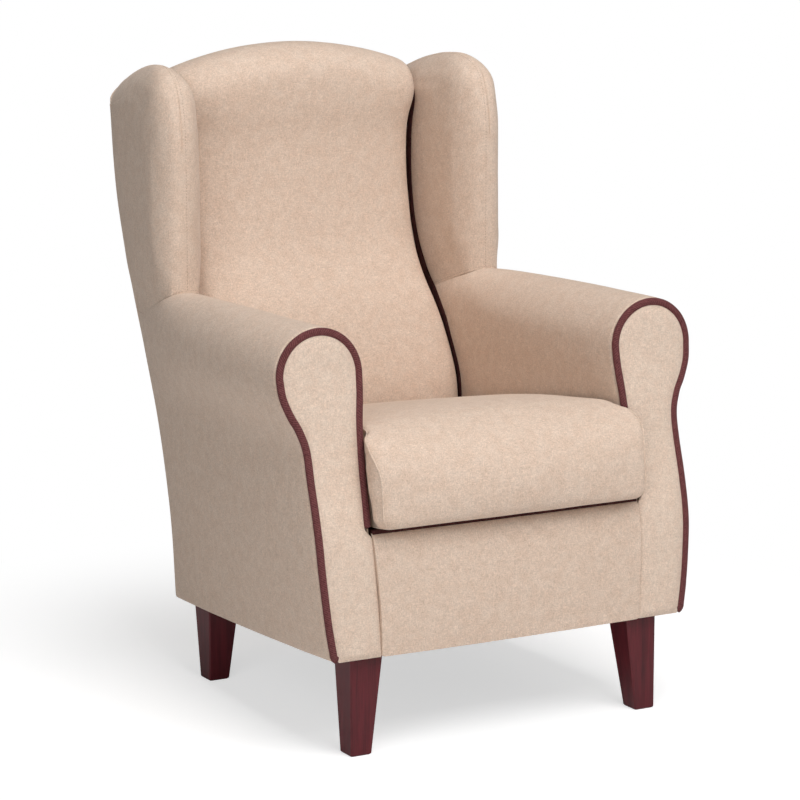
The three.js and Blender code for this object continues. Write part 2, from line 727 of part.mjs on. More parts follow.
function backRail(low, high) {
  const half = postInnerX - gap;
  return rakedSlab(postFront, (at) => postFront(at) + railThickness, low, high, -half, half);
}

function backPost() {
  return rakedSlab(postFront, (at) => panelFront(at) - gap, postFoot, railPeak, postInnerX, postOuterX);
}

const postFoot = underside(postFront(undersideRear)) + dustThickness + gap;

// The upper edge of the outside back, over the arch and down to the wings' corners.
function panelTop(x) {
  const away = Math.abs(x);
  if (away <= archHalf) return archTop(away) - panelDrop;
  const share = (away - archHalf) / (rearHalf - archHalf);
  return lerp(archTop(archHalf) - panelDrop, shoulderHeight - panelThickness * 2, share);
}

function outsideBack() {
  const side = acrossShares.map((share) => share * rearHalf);
  const rings = levels(0, 1, levelSteps).map((up) => {
    const heightAt = (x) => lerp(undersideRear, panelTop(x), up);
    const outer = side.map((x) => {
      const crown = panelCrown * Math.cos(x / rearHalf * Math.PI / 2);
      return new THREE.Vector3(x, rearFace(heightAt(x)) + crown, heightAt(x));
    });
    const inner = [...side].reverse().map((x) => (
      new THREE.Vector3(x, panelFront(heightAt(x)) + panelGap * 2, heightAt(x))
    ));
    return [...outer, ...inner];
  });
  return loft(rings);
}

// Seat frame, in level coordinates that tilted() drops onto the frame's slope
const frontRailFace = (height) => straightened(frontFace, height) + borderThickness + gap;
const frontRailBack = (height) => frontRailFace(height) + railThickness;
const sideRailFront = frontFace(frameBottom + sideRailHeight) + boardFront + boardThickness + gap;
const sideRailRear = postFront(postFoot) - gap;
const wallInner = (share) => armSection(share)[0].outerX - outerWall;
const railOuter = (depth) => {
  const shareAt = (at) => (at - armFront(undersideFront)) / (armRear(undersideRear) - armFront(undersideFront));
  const share = (depth - sideRailFront) / (sideRailRear - sideRailFront);
  return lerp(wallInner(shareAt(sideRailFront)), wallInner(shareAt(sideRailRear)), share) - gap;
};

function sideRail() {
  const ring = (depth) => {
    const outer = railOuter(depth);
    const inner = outer - railThickness;
    return [
      new THREE.Vector3(inner, depth, frameBottom),
      new THREE.Vector3(inner, depth, frameBottom + sideRailHeight),
      new THREE.Vector3(outer, depth, frameBottom + sideRailHeight),
      new THREE.Vector3(outer, depth, frameBottom),
    ];
  };
  return tilted(loft([ring(sideRailFront), ring(sideRailRear)]));
}

function frontRail() {
  const low = panelOutline(boardInset).slice(0, levelSteps / 2);
  const half = Math.min(...low.map(({ inner }) => inner.x)) - gap;
  const top = railTop(frontRailBack(deckBottom(0)));
  const peak = railTop(frontRailFace(top));
  return sideSlab([
    ...sharedLevels(frameBottom, peak).map((height) => [frontRailFace(height), height]),
    ...sharedLevels(frameBottom, top).reverse().map((height) => [frontRailBack(height), height]),
  ], -half, half);
}

const rearRailFront = postFront(postFoot) + railThickness / 2;

function rearRail() {
  const half = postInnerX - gap;
  const front = rearRailFront;
  const rear = front + railThickness;
  return sideSlab([
    [front, underside(front) + dustThickness + gap],
    [rear, underside(rear) + dustThickness + gap],
    [rear, railTop(rear)],
    [front, railTop(front)],
  ], -half, half);
}

const boltX = legOuterX - legTop / 2 - boltSetback;
const frontBoltY = frontRailBack(frameBottom + blockHeight) + boltRoom + washerRadius;
const rearBoltY = rearLegFront + legTop / 2 - boltSetback;

// A corner block, wide against a rail and drawn in away from it.
function cornerBlock(wallDepth, freeDepth, boltDepth) {
  const outerAt = (depth) => railOuter(depth) - railThickness - gap;
  const inner = outerAt(wallDepth) - blockWidth;
  const toward = Math.sign(freeDepth - wallDepth);
  const plan = new THREE.Shape([
    new THREE.Vector2(outerAt(wallDepth), wallDepth),
    new THREE.Vector2(outerAt(freeDepth), freeDepth),
    new THREE.Vector2(outerAt(freeDepth) - blockChamfer, freeDepth),
    new THREE.Vector2(inner, wallDepth + toward * blockChamfer),
    new THREE.Vector2(inner, wallDepth),
  ]);
  const body = new THREE.ExtrudeGeometry(plan, { depth: blockHeight, bevelEnabled: false });
  body.translate(0, 0, frameBottom);
  return cut(tilted(body), boltHole(boltDepth));
}

// An upright round or six-sided bar on a bolt's line.
function upright(radius, low, high, sides, boltDepth) {
  const bar = new THREE.CylinderGeometry(radius, radius, high - low, sides);
  return bar.rotateX(Math.PI / 2).translate(boltX, boltDepth, (low + high) / 2);
}

const boltFoot = (boltDepth) => underside(boltDepth) - boltInLeg;

function boltHole(boltDepth) {
  const high = underside(boltDepth) + blockHeight + overrun;
  return upright(boltRadius + gap, boltFoot(boltDepth) - gap, high, boltSides, boltDepth);
}

function legBolt(boltDepth) {
  const seat = underside(boltDepth - washerRadius) + dustThickness + gap + blockHeight + gap;
  const nutTop = seat + washerHeight + nutHeight;
  return fuse(
    upright(boltRadius, boltFoot(boltDepth), nutTop + boltTail, boltSides, boltDepth),
    upright(washerRadius, seat, seat + washerHeight, boltSides, boltDepth),
    upright(nutRadius, seat, nutTop, nutSides, boltDepth),
  );
}

// A square leg, upright on its outer and front faces and tapered on the others.
function leg(front, boltDepth) {
  const ring = (width, heightAt, inset) => {
    const low = { x: legOuterX - width + inset, y: front + inset };
    const high = { x: legOuterX - inset, y: front + width - inset };
    const corner = legChamfer;
    const plan = [
      [low.x, low.y + corner], [low.x, high.y - corner], [low.x + corner, high.y], [high.x - corner, high.y],
      [high.x, high.y - corner], [high.x, low.y + corner], [high.x - corner, low.y], [low.x + corner, low.y],
    ];
    return plan.map(([x, y]) => new THREE.Vector3(x, y, heightAt(y)));
  };
  const body = loft([
    ring(legFoot, () => 0, legChamfer),
    ring(legFoot, () => legChamfer, 0),
    ring(legTop, (depth) => underside(depth) + dustThickness, 0),
  ]);
  return cut(body, boltHole(boltDepth));
}

function dustCover() {
  const front = armFront(undersideFront) + boardThickness + panelGap;
  const rear = panelFront(undersideRear) - panelThickness;
  const plan = new THREE.Shape([
    new THREE.Vector2(-railOuter(front) + dustMargin, front),
    new THREE.Vector2(railOuter(front) - dustMargin, front),
    new THREE.Vector2(railOuter(rear) - dustMargin, rear),
    new THREE.Vector2(-railOuter(rear) + dustMargin, rear),
  ]);
  const sheet = new THREE.ExtrudeGeometry(plan, { depth: dustThickness, bevelEnabled: false });
  sheet.translate(0, 0, undersideFront);
  const notches = [];
  for (const legFront of [frontLegFront, rearLegFront]) {
    for (const side of [-1, 1]) {
      const low = Math.min(side * (legOuterX + gap), side * (legOuterX - legTop - gap));
      const high = Math.max(side * (legOuterX + gap), side * (legOuterX - legTop - gap));
      notches.push(block([low, legFront - gap, 0], [high, legFront + legTop + gap, undersideFront + overrun]));
    }
  }
  return cut(tilted(sheet), ...notches);
}

// The front border: a padded panel between the arm panels, rounded into the deck.
function frontBorder() {
  const edge = panelOutline(0).map(({ inner }) => inner);
  const edgeX = (height) => {
    const i = Math.max(edge.findIndex(({ y }) => y >= height), 1);
    const share = (height - edge[i - 1].y) / (edge[i].y - edge[i - 1].y);
    return lerp(edge[i - 1].x, edge[i].x, share) - panelGap;
  };
  const shoulder = deckHeight - borderShoulder;
  const bends = edge.map(({ y }) => y).filter((y) => y > undersideFront && y < shoulder);
  const heights = [...sharedLevels(undersideFront, shoulder), ...bends].sort((a, b) => a - b);
  const ring = (height, setBack) => {
    const share = (height - undersideFront) / (deckHeight - undersideFront);
    const belly = borderBelly * Math.sin(share * Math.PI);
    const half = edgeX(height);
    const face = straightened(frontFace, height);
    const place = (x, depth) => new THREE.Vector3(x, depth, Math.min(height, deckTop(depth)));
    return [
      place(-half, face - belly + setBack),
      place(0, face - belly - borderBelly + setBack),
      place(half, face - belly + setBack),
      place(half, face + borderThickness),
      place(0, face + borderThickness),
      place(-half, face + borderThickness),
    ];
  };
  const rings = heights.map((height) => ring(height, 0));
  for (let i = 1; i <= 3; i += 1) {
    const angle = i * Math.PI / 6;
    rings.push(ring(shoulder + borderShoulder * Math.sin(angle), borderShoulder * (1 - Math.cos(angle))));
  }
  return loft(rings);
}

function deckPad() {
  const front = frontRailFace(deckHeight);
  const rear = strapFront(deckBottom(bodyDepth)) - gap;
  const half = seatHalf - panelGap;
  return sideSlab([
    [front, deckBottom(front)],
    [rear, deckBottom(rear)],
    [rear, deckTop(rear)],
    [front, deckTop(front)],
  ], -half, half);
}

// One zigzag spring from the front rail to the rear rail, with its two clips.
function seatSpring(x) {
  const front = frontRailFace(deckBottom(0)) + railThickness / 2;
  const rear = rearRailFront + railThickness / 2;
  const points = [];
  for (const share of levels(0, 1, springSteps)) {
    const turn = share * springBends * Math.PI * 2;
    const ends = Math.min(1, share * springSteps / 3, (1 - share) * springSteps / 3);
    const depth = lerp(front, rear, share) - springLobe * ends * Math.sin(2 * turn) / 2;
    const across = springHalfWidth * Math.sin(turn);
    points.push(new THREE.Vector3(x + across, depth, springBottom(depth) + springWire / 2));
  }
  const section = new THREE.Shape();
  for (let i = 0; i < springSides; i += 1) {
    const angle = i * Math.PI * 2 / springSides;
    const place = [Math.cos(angle) * springWire / 2, Math.sin(angle) * springWire / 2];
    if (i === 0) section.moveTo(...place);
    else section.lineTo(...place);
  }
  section.closePath();
  const wire = new THREE.ExtrudeGeometry(section, { extrudePath: new THREE.CatmullRomCurve3(points), steps: springSteps });
  const clip = (depth) => {
    const ends = [depth - clipWidth / 2, depth + clipWidth / 2];
    return sideSlab([
      ...ends.map((end) => [end, railTop(end) + gap]),
      ...ends.reverse().map((end) => [end, springBottom(end) + springWire / 2]),
    ], x - clipLength / 2, x + clipLength / 2);
  };
  return fuse(wire, clip(front), clip(rear));
}

// Cushion, in its own frame: X across, Y back along the deck, Z off the deck.
// A ring of its outline at one level, from the middle of the front round one side
// to the middle of the rear, and back round the other side.
function cushionRing(level, inset, frontInset) {
  const half = cushionHalf - inset;
  const front = -cushionFront + frontInset;
  const rear = cushionDepth - cushionFront - inset;
  const corner = Math.min(cushionCorner, half);
  const panel = frontFace(deckHeight + level) - panelGap * 2 - level * Math.sin(deckSlope);
  const side = [];
  const straight = half - corner;
  for (const share of cushionEdgeShares) side.push([straight * share, front]);
  for (let i = 0; i <= arcSteps - 2; i += 1) {
    const angle = i * Math.PI / 2 / (arcSteps - 2);
    side.push([straight + corner * Math.sin(angle), front + corner * (1 - Math.cos(angle))]);
  }
  const neck = Math.max(panel, front + corner + panelGap);
  side.push([half, neck]);
  for (const share of levels(0, 1, 4).slice(1, -1)) side.push([half, lerp(neck, rear - corner, share)]);
  for (let i = 0; i <= arcSteps - 3; i += 1) {
    const angle = i * Math.PI / 2 / (arcSteps - 3);
    side.push([straight + corner * Math.cos(angle), rear - corner * (1 - Math.sin(angle))]);
  }
  for (const share of [...cushionEdgeShares].reverse()) side.push([straight * share, rear]);
  const shaped = side.map(([x, y]) => {
    const across = x / half;
    const along = (y - front) / (rear - front);
    const belly = cushionBelly * (1 - across * across) * Math.max(1 - along * 2, 0);
    const waist = cushionWaist * across * Math.sin(along * Math.PI);
    const ear = cushionEar * across ** 3 * THREE.MathUtils.smoothstep(panel - y, 0, cushionEarLength);
    const thin = 1 - cushionThinning / cushionThickness * THREE.MathUtils.smoothstep(along, ...cushionThinShares);
    return new THREE.Vector3(x - waist + ear, y - belly, level * thin);
  });
  const other = shaped.map((point) => new THREE.Vector3(-point.x, point.y, point.z));
  return [...shaped, ...other.reverse()];
}

// The cushion's form drawn in by an inset, with all of its rings or every second one.
function cushionForm(inset, everyRing) {
  const rings = [];
  const lift = (level) => gap + inset + level * (1 - 2 * inset / cushionThickness);
  cushionLevelShares.forEach((share, i) => {
    if (i % 2 !== 0 && !everyRing) return;
    const side = inset + cushionSideShares[i] * cushionSideRound;
    const round = share < cushionLevelShares[3] ? cushionFrontUnder : cushionFrontRound;
    rings.push(cushionRing(lift(share * cushionThickness), side, inset + cushionFrontShares[i] * round));
  });
  const last = cushionLevelShares.length - 1;
  const lastSide = inset + cushionSideShares[last] * cushionSideRound;
  const lastFront = inset + cushionFrontShares[last] * cushionFrontRound;
  cushionCrownShares.forEach(([drawn, crown], i) => {
    if (i % 2 === 0 && !everyRing) return;
    const level = lift(cushionThickness + crown * cushionCrown);
    const side = lerp(lastSide, cushionHalf, drawn);
    const middle = (cushionDepth - cushionFront) / 2;
    rings.push(cushionRing(level, side, lerp(lastFront, middle, drawn)));
  });
  return loft(rings);
}

function cushionCover() {
  const low = [-zipLength / 2, cushionDepth - cushionFront - wadding * 2, cushionThickness / 2 - zipWidth / 2];
  const high = [zipLength / 2, cushionDepth + overrun, cushionThickness / 2 + zipWidth / 2];
  return cut(cushionForm(0, true), cushionForm(wadding - gap, false), block(low, high));
}

// The chair
const chair = new THREE.Group();

function add(parent, name, geometry, material) {
  const mesh = new THREE.Mesh(geometry, material);
  mesh.name = name;
  parent.add(mesh);
}

function addPair(name, geometry, material) {
  add(chair, `right_${name}`, geometry, material);
  add(chair, `left_${name}`, mirrored(geometry), material);
}

addPair('front_leg', leg(frontLegFront, frontBoltY), stainedWood);
addPair('rear_leg', leg(rearLegFront, rearBoltY), stainedWood);
addPair('front_leg_bolt', legBolt(frontBoltY), steel);
addPair('rear_leg_bolt', legBolt(rearBoltY), steel);

const frontBlockFace = frontRailBack(frameBottom + blockHeight) + gap;
addPair('front_corner_block', cornerBlock(frontBlockFace, frontBlockFace + blockDepth, frontBoltY), rawWood);
addPair('rear_corner_block', cornerBlock(sideRailRear, sideRailRear - blockDepth, rearBoltY), rawWood);
add(chair, 'seat_front_rail', frontRail(), rawWood);
add(chair, 'seat_rear_rail', rearRail(), rawWood);
addPair('seat_side_rail', sideRail(), rawWood);
for (let i = 0; i < springCount; i += 1) {
  const x = -springRowWidth / 2 + i * springRowWidth / (springCount - 1);
  add(chair, `seat_spring_${i + 1}`, seatSpring(x), steel);
}
add(chair, 'deck_pad', deckPad(), foam);
add(chair, 'front_border', frontBorder(), cover);
add(chair, 'dust_cover', dustCover(), lining);

addPair('arm_pad', armPad(), cover);
addPair('arm_front_board', armBoard(), plywood);
addPair('arm_rail', armRail(), rawWood);
addPair('arm_facing', armFacing(), facingCover);
addPair('arm_piping', armPiping(), pipingCover);

const wings = wingPads();
addPair('wing_inner_pad', wings.inner, cover);
addPair('wing_outer_pad', wings.outer, cover);
addPair('wing_board', wingBoard(), plywood);

addPair('back_post', backPost(), rawWood);
add(chair, 'back_top_rail', backRail(railPeak - topRailHeight, railPeak), rawWood);
add(chair, 'back_tail_rail', backRail(deckHeight, deckHeight + tailRailHeight), rawWood);
const strapLow = deckHeight + tailRailHeight + strapWidth / 2;
const strapHigh = railPeak - topRailHeight - strapWidth - strapWidth / 2;
levels(strapLow, strapHigh, strapCount - 1).forEach((height, i) => {
  add(chair, `back_strap_${i + 1}`, backStrap(height), webbing);
});
add(chair, 'back_pad', backPad(), cover);
add(chair, 'outside_back', outsideBack(), cover);

// The loose cushion lies on the sloping deck
const cushion = new THREE.Group();
cushion.position.set(0, 0, deckTop(0));
cushion.rotation.x = -deckSlope;
add(cushion, 'seat_cushion_cover', cushionCover(), cover);
add(cushion, 'seat_cushion_core', cushionForm(wadding, false), foam);
chair.add(cushion);

// The origin is on the floor, under the middle of the chair's length and width
const extent = new THREE.Box3().setFromObject(chair);
chair.position.y = -(extent.min.y + extent.max.y) / 2;

export default chair;
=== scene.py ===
"""Fireside wing chair: upholstery, finishes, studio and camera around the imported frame."""
import logging
import math
from bisect import bisect_left
from dataclasses import dataclass
from enum import Enum
from typing import Callable, Optional, Sequence, Union

import bmesh
import bpy
from bmesh.types import BMesh
from bpy.types import Material, Node, NodeSocket, NodeTree, Object
from mathutils import Matrix, Vector, noise


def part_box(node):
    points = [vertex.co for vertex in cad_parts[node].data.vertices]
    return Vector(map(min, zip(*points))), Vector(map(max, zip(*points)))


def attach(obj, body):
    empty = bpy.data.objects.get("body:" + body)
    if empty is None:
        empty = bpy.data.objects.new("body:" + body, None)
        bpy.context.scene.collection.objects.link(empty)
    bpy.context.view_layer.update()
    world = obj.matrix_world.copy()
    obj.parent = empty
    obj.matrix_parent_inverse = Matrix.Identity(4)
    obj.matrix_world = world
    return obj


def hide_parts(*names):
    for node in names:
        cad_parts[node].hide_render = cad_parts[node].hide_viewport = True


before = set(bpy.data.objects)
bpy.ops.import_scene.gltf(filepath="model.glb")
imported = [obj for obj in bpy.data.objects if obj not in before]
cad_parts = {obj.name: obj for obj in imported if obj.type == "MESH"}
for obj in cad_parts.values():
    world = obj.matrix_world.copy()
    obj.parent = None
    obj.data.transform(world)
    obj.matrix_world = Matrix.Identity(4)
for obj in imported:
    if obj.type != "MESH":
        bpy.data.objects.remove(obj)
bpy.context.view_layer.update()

log = logging.getLogger("fireside_chair")

MM = 0.001
MERGE = 0.01 * MM
RIM_SEGMENTS = 3
AT_EDGE = 0.9999
WHITE = (1, 1, 1, 1)

Curve = Callable[[float], float]
Place = Callable[[float, float], Vector]
Behind = Callable[[Vector, Vector], Vector]
Pair = tuple[float, float]
Point = tuple[float, float, float]
Line = Callable[[float], Point]
Colour = tuple[float, float, float]
Stops = Sequence[tuple[float, Colour]]
# Where a smooth step begins, and over what it rises.
Step = tuple[float, float]


class Worded(Enum):
    """Options whose names are words in the names of nodes and finishes."""

    @property
    def label(self) -> str:
        """The word."""
        return self.name.lower()


class Side(Worded):
    """The two sides of the chair, as seen from in front."""

    LEFT = -1
    RIGHT = 1


class Body(Enum):
    """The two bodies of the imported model."""

    CHAIR = "chair"
    CUSHION = "cushion"


def lerp(start: float, end: float, share: float) -> float:
    """The value a share of the way from start to end."""
    return start + (end - start) * share


def clamp(value: float, low: float = 0.0, high: float = 1.0) -> float:
    """The value, held between low and high."""
    return max(low, min(high, value))


def smooth(value: float) -> float:
    """A smooth step from 0 to 1."""
    share = clamp(value)
    return share * share * (3 - 2 * share)


def rising(value: float, step: Step) -> float:
    """A smooth step from 0 to 1 that begins at the first number and rises over the second one."""
    start, over = step
    return smooth((value - start) / over)


def smooth_through(points: Sequence[Pair]) -> Curve:
    """A smooth function through points, carried on straight past its ends.

    Args:
        points: pairs of a place and the value there, in rising order.

    Returns:
        The function.
    """
    last = len(points) - 1
    slopes = []
    for i in range(last + 1):
        before = points[max(i - 1, 0)]
        after = points[min(i + 1, last)]
        slopes.append((after[1] - before[1]) / (after[0] - before[0]))

    def value(at: float) -> float:
        """The function."""
        if at <= points[0][0]:
            return points[0][1] + slopes[0] * (at - points[0][0])
        if at >= points[last][0]:
            return points[last][1] + slopes[last] * (at - points[last][0])
        i = next(k for k in range(1, last + 1) if points[k][0] >= at) - 1
        width = points[i + 1][0] - points[i][0]
        u = (at - points[i][0]) / width
        rise = u * u * (3 - 2 * u)
        lead = u * (1 - u) ** 2 * width * slopes[i]
        trail = u * u * (1 - u) * width * slopes[i + 1]
        return points[i][1] * (1 - rise) + points[i + 1][1] * rise + lead - trail

    return value


def scaled(shares: Sequence[Pair], start: float, size: float, low: float, height: float) -> Curve:
    """A curve through shares of a height above low, each with its share of a size beyond start."""
    return smooth_through([(low + up * height, start + along * size) for up, along in shares])


FRONT_RAKE_SHARES = (
    (0, 0), (0.19, 0.08), (0.33, 0.18), (0.44, 0.35), (0.55, 0.57),
    (0.67, 0.75), (0.77, 0.87), (0.86, 0.96), (1, 1),
)
BACK_RAKE_SHARES = (
    (0, 0), (0.18, 0.08), (0.35, 0.25), (0.5, 0.47), (0.57, 0.585), (0.68, 0.75), (0.82, 0.91), (1, 1),
)
TUCK_SHARES = ((0, 1), (0.12, 0.53), (0.23, 0.24), (0.37, 0), (1, 0))
OVERHANG_SHARES = (
    (0, 0), (0.65, 0), (0.75, 0.05), (0.82, 0.31), (0.86, 0.57), (0.9, 0.78), (0.94, 0.93), (1, 1),
)
LEAN_BELOW_SHARES = ((0, 0.6), (0.36, 0.53), (0.6, 0.43), (0.82, 0.33), (1, 0.27))
LEAN_ABOVE_SHARES = ((0, 0.27), (0.08, 0.31), (0.27, 0.43), (0.5, 0.56), (0.69, 0.7), (0.87, 0.93), (1, 1))
FALL_SHARES = ((0, 0), (0.4, 0.1), (0.7, 0.32), (0.85, 0.6), (1, 1))
BACK_FACE_SHARES = (
    (0, 0), (0.145, 0.01), (0.24, 0.02), (0.3, 0.06), (0.35, 0.13), (0.436, 0.29), (0.521, 0.45),
    (0.607, 0.64), (0.692, 0.8), (0.778, 0.89), (0.863, 0.955), (0.95, 0.99), (1.03, 1), (1.12, 0.96),
    (1.29, 0.93),
)
BACK_WAIST_SHARES = (
    (0, 0.1), (0.24, 0.05), (0.35, 0), (0.43, 0.02), (0.49, 0.2), (0.58, 0.54), (0.69, 0.67),
    (0.83, 0.67), (0.96, 0.65), (1.06, 0.54), (1.12, 0.2), (1.17, 0.1), (1.23, 0.1),
)
# Widths, by height, that the dark strips of painted shade in the back's crevices show.
SHADE_STRIP_WIDTHS = (
    (360, 0.5), (480, 1), (600, 1), (700, -1), (757, -2), (857, 0.5), (920, 0.5), (950, -5), (975, -12),
)
BACK_CROWN_SHARES = ((0, 0), (0.25, 0), (0.35, 0.4), (0.48, 0.9), (0.6, 1), (1, 1))
WING_EDGE_SHARES = (
    (0, 0), (0.015, 0.3), (0.065, 0.68), (0.15, 0.87), (0.28, 0.985), (0.42, 1), (0.55, 0.985),
    (0.7, 0.93), (0.86, 0.82), (1, 0.68), (1.4, 0.1),
)


@dataclass
class ChairForm:
    """Sizes and side-view curves that the upholstery shares, in millimetres.

    X is 0 in the chair's middle plane, depths run to the rear from just ahead of the
    front legs, and heights are above the floor.
    """

    seat_half: float = 250
    arm_lean: float = 20
    rear_lean_share: float = 0.15
    roll_radius: float = 75
    roll_overhang: float = 37
    foot_tuck: float = 17
    rear_taper: float = 41
    roll_centre: float = 595
    roll_fall: float = 40
    underside_front: float = 160
    frame_tilt: float = math.radians(3.2)
    body_forward: float = 15
    front_rake: float = 77
    body_depth: float = 599
    back_rake: float = 239
    back_height: float = 1052
    shoulder_drop: float = 92
    arch_rise: float = 42
    panel_thickness: float = 6
    post_depth: float = 45
    strap_thickness: float = 2
    facing_thickness: float = 9.2
    panel_gap: float = 0.5
    gap: float = 0.3
    deck_height: float = 358
    deck_slope: float = math.radians(6.5)
    deck_thickness: float = 28
    leg_front: float = 5
    roof_power: float = 3
    roof_step: Step = (0.5, 0.28)
    deck_lean: float = 0.27

    def __post_init__(self) -> None:
        """Works out the curves that hang on the sizes."""
        self.roll_x = self.seat_half - self.arm_lean + self.roll_radius
        self.waist_half = self.roll_x + self.roll_radius - self.roll_overhang
        self.rear_half = self.waist_half - self.rear_taper
        self.shoulder = self.back_height - self.shoulder_drop
        self.underside_rear = self.underside_front - self.body_depth * math.tan(self.frame_tilt)
        roll_top = self.roll_centre + self.roll_radius
        self.front_face = scaled(
            FRONT_RAKE_SHARES, -self.body_forward, self.front_rake,
            self.underside_front, roll_top - self.underside_front,
        )
        self.rear_face = scaled(
            BACK_RAKE_SHARES, self.body_depth, self.back_rake,
            self.underside_rear, self.shoulder - self.underside_rear,
        )
        self.tuck = smooth_through(TUCK_SHARES)
        self.overhang = smooth_through(OVERHANG_SHARES)
        self.lean_below = smooth_through(LEAN_BELOW_SHARES)
        self.lean_above = smooth_through(LEAN_ABOVE_SHARES)
        self.fall = smooth_through(FALL_SHARES)
        self.shift = self.leg_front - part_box("right_front_leg")[0].y / MM

    def put(self, x: float, y: float, z: float) -> Vector:
        """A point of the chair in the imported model's frame, in metres."""
        return Vector((x, y - self.shift, z)) * MM

    def panel_front(self, height: float) -> float:
        """Depth of the outside back's inner face."""
        return self.rear_face(height) - self.panel_thickness

    def strap_front(self, height: float) -> float:
        """Depth of the front of the back's webbing."""
        return self.panel_front(height) - self.post_depth - self.strap_thickness - 2 * self.gap

    def deck_top(self, depth: float) -> float:
        """Height of the deck."""
        return self.deck_height - depth * math.tan(self.deck_slope)

    def arm_front(self, height: float) -> float:
        """Depth of the arm's front edge."""
        return self.front_face(height) + self.facing_thickness + self.panel_gap

    def arm_rear(self, height: float) -> float:
        """Depth of the arm's rear edge."""
        return self.panel_front(height) - self.gap

    def arm_share(self, depth: float) -> float:
        """Station of the arm at a depth."""
        front = self.arm_front(self.roll_centre)
        return clamp((depth - front) / (self.arm_rear(self.roll_centre) - front))

    def arm_centre(self, share: float) -> float:
        """Height of the scroll's centre at a station."""
        return self.roll_centre - self.roll_fall * self.fall(clamp(share))

    def arm_bottom(self, share: float) -> float:
        """Height of the arm's lower edge at a station."""
        return lerp(self.underside_front, self.underside_rear, share)

    def arm_lean_at(self, share: float) -> float:
        """How far the scroll leans in at a station."""
        return self.arm_lean * lerp(1, self.rear_lean_share, share * share)

    def arm_inner(self, share: float, height: float) -> float:
        """X of the arm's inside.

        Args:
            share: station, 0 at the front and 1 at the rear.
            height: height of the point.

        Returns:
            X on the right.
        """
        bottom = self.arm_bottom(share)
        centre = self.arm_centre(share)
        top = self.deck_top(share * self.body_depth)
        foot = top - self.deck_thickness
        inward = self.deck_lean
        if height < foot:
            inward = self.lean_below((height - bottom) / (foot - bottom))
        if height > top:
            inward = self.lean_above((height - top) / (centre - top))
        return self.seat_half - self.arm_lean_at(share) * inward

    def arm_outer(self, share: float, height: float) -> float:
        """X of the arm's outside.

        Args:
            share: station, 0 at the front and 1 at the rear.
            height: height of the point.

        Returns:
            X on the right.
        """
        bottom = self.arm_bottom(share)
        up = (height - bottom) / (self.arm_centre(share) - bottom)
        front = self.waist_half - self.foot_tuck * self.tuck(up) + self.roll_overhang * self.overhang(up)
        return lerp(front, self.rear_half, share * share)

    def roof_square(self, share: float) -> float:
        """Exponent of the scroll's section: round in front, squarer where the wing sits."""
        return lerp(2, self.roof_power, rising(share, self.roof_step))

    def arm_roof(self, share: float, angle: float, grow: float = 0) -> Pair:
        """A point round the top of the scroll.

        Args:
            share: station, 0 at the front and 1 at the rear.
            angle: 0 on the outside, pi on the inside.
            grow: how far the section is swollen.

        Returns:
            X and height.
        """
        centre = self.arm_centre(share)
        inner = self.seat_half - self.arm_lean_at(share) - grow
        outer = lerp(self.roll_x + self.roll_radius, self.rear_half, share * share) + grow
        power = 2 / self.roof_square(share)
        across = math.copysign(abs(math.cos(angle)) ** power, math.cos(angle))
        up = abs(math.sin(angle)) ** power
        return (inner + outer) / 2 + (outer - inner) / 2 * across, centre + (self.roll_radius + grow) * up

    def arm_surface(self, x: float, depth: float) -> float:
        """Height of the top of the arm under a point of the plan.

        Args:
            x: distance from the middle plane.
            depth: depth.

        Returns:
            The height, or that of the scroll's centre where the point is off the arm.
        """
        share = self.arm_share(depth)
        outer, centre = self.arm_roof(share, 0)
        inner, _ = self.arm_roof(share, math.pi)
        across = clamp(abs(x - (inner + outer) / 2) / ((outer - inner) / 2))
        power = self.roof_square(share)
        return centre + self.roll_radius * max(1 - across ** power, 0) ** (1 / power)

    def arm_width(self, share: float, height: float) -> Pair:
        """Width of the scroll.

        Args:
            share: station, 0 at the front and 1 at the rear.
            height: height of the point, above the scroll's centre.

        Returns:
            Inner and outer X.
        """
        outer, centre = self.arm_roof(share, 0)
        inner, _ = self.arm_roof(share, math.pi)
        power = self.roof_square(share)
        rise = clamp((height - centre) / self.roll_radius)
        reach = (outer - inner) / 2 * (1 - rise ** power) ** (1 / power)
        return (inner + outer) / 2 - reach, (inner + outer) / 2 + reach


def laid_grid(columns: int, rows: int, place: Place) -> BMesh:
    """Lays a grid over a surface.

    Args:
        columns: faces in the first direction.
        rows: faces in the second direction.
        place: the surface, from two shares to a point in metres.

    Returns:
        The mesh, with its own UV map of the two shares.
    """
    mesh = bmesh.new()
    cloth = mesh.loops.layers.uv.new("Cloth")
    bmesh.ops.create_grid(mesh, x_segments=columns, y_segments=rows, size=0.5)
    for face in mesh.faces:
        face.smooth = True
        for loop in face.loops:
            loop[cloth].uv = (loop.vert.co.x + 0.5, loop.vert.co.y + 0.5)
    for vert in mesh.verts:
        vert.co = place(vert.co.x + 0.5, vert.co.y + 0.5)
    mesh.normal_update()
    return mesh


def laid_tube(sides: int, rings: int, around: Place) -> BMesh:
    """Lays a closed tube.

    Args:
        sides: faces round the tube.
        rings: faces along it.
        around: the surface, from the shares round and along it to a point in metres.

    Returns:
        The mesh, with any open ends filled.
    """
    mesh = laid_grid(sides, rings, around)
    bmesh.ops.remove_doubles(mesh, verts=mesh.verts[:], dist=MERGE)
    ends = [edge for edge in mesh.edges if edge.is_boundary]
    if ends:
        bmesh.ops.holes_fill(mesh, edges=ends, sides=0)
    bmesh.ops.recalc_face_normals(mesh, faces=mesh.faces[:])
    return mesh


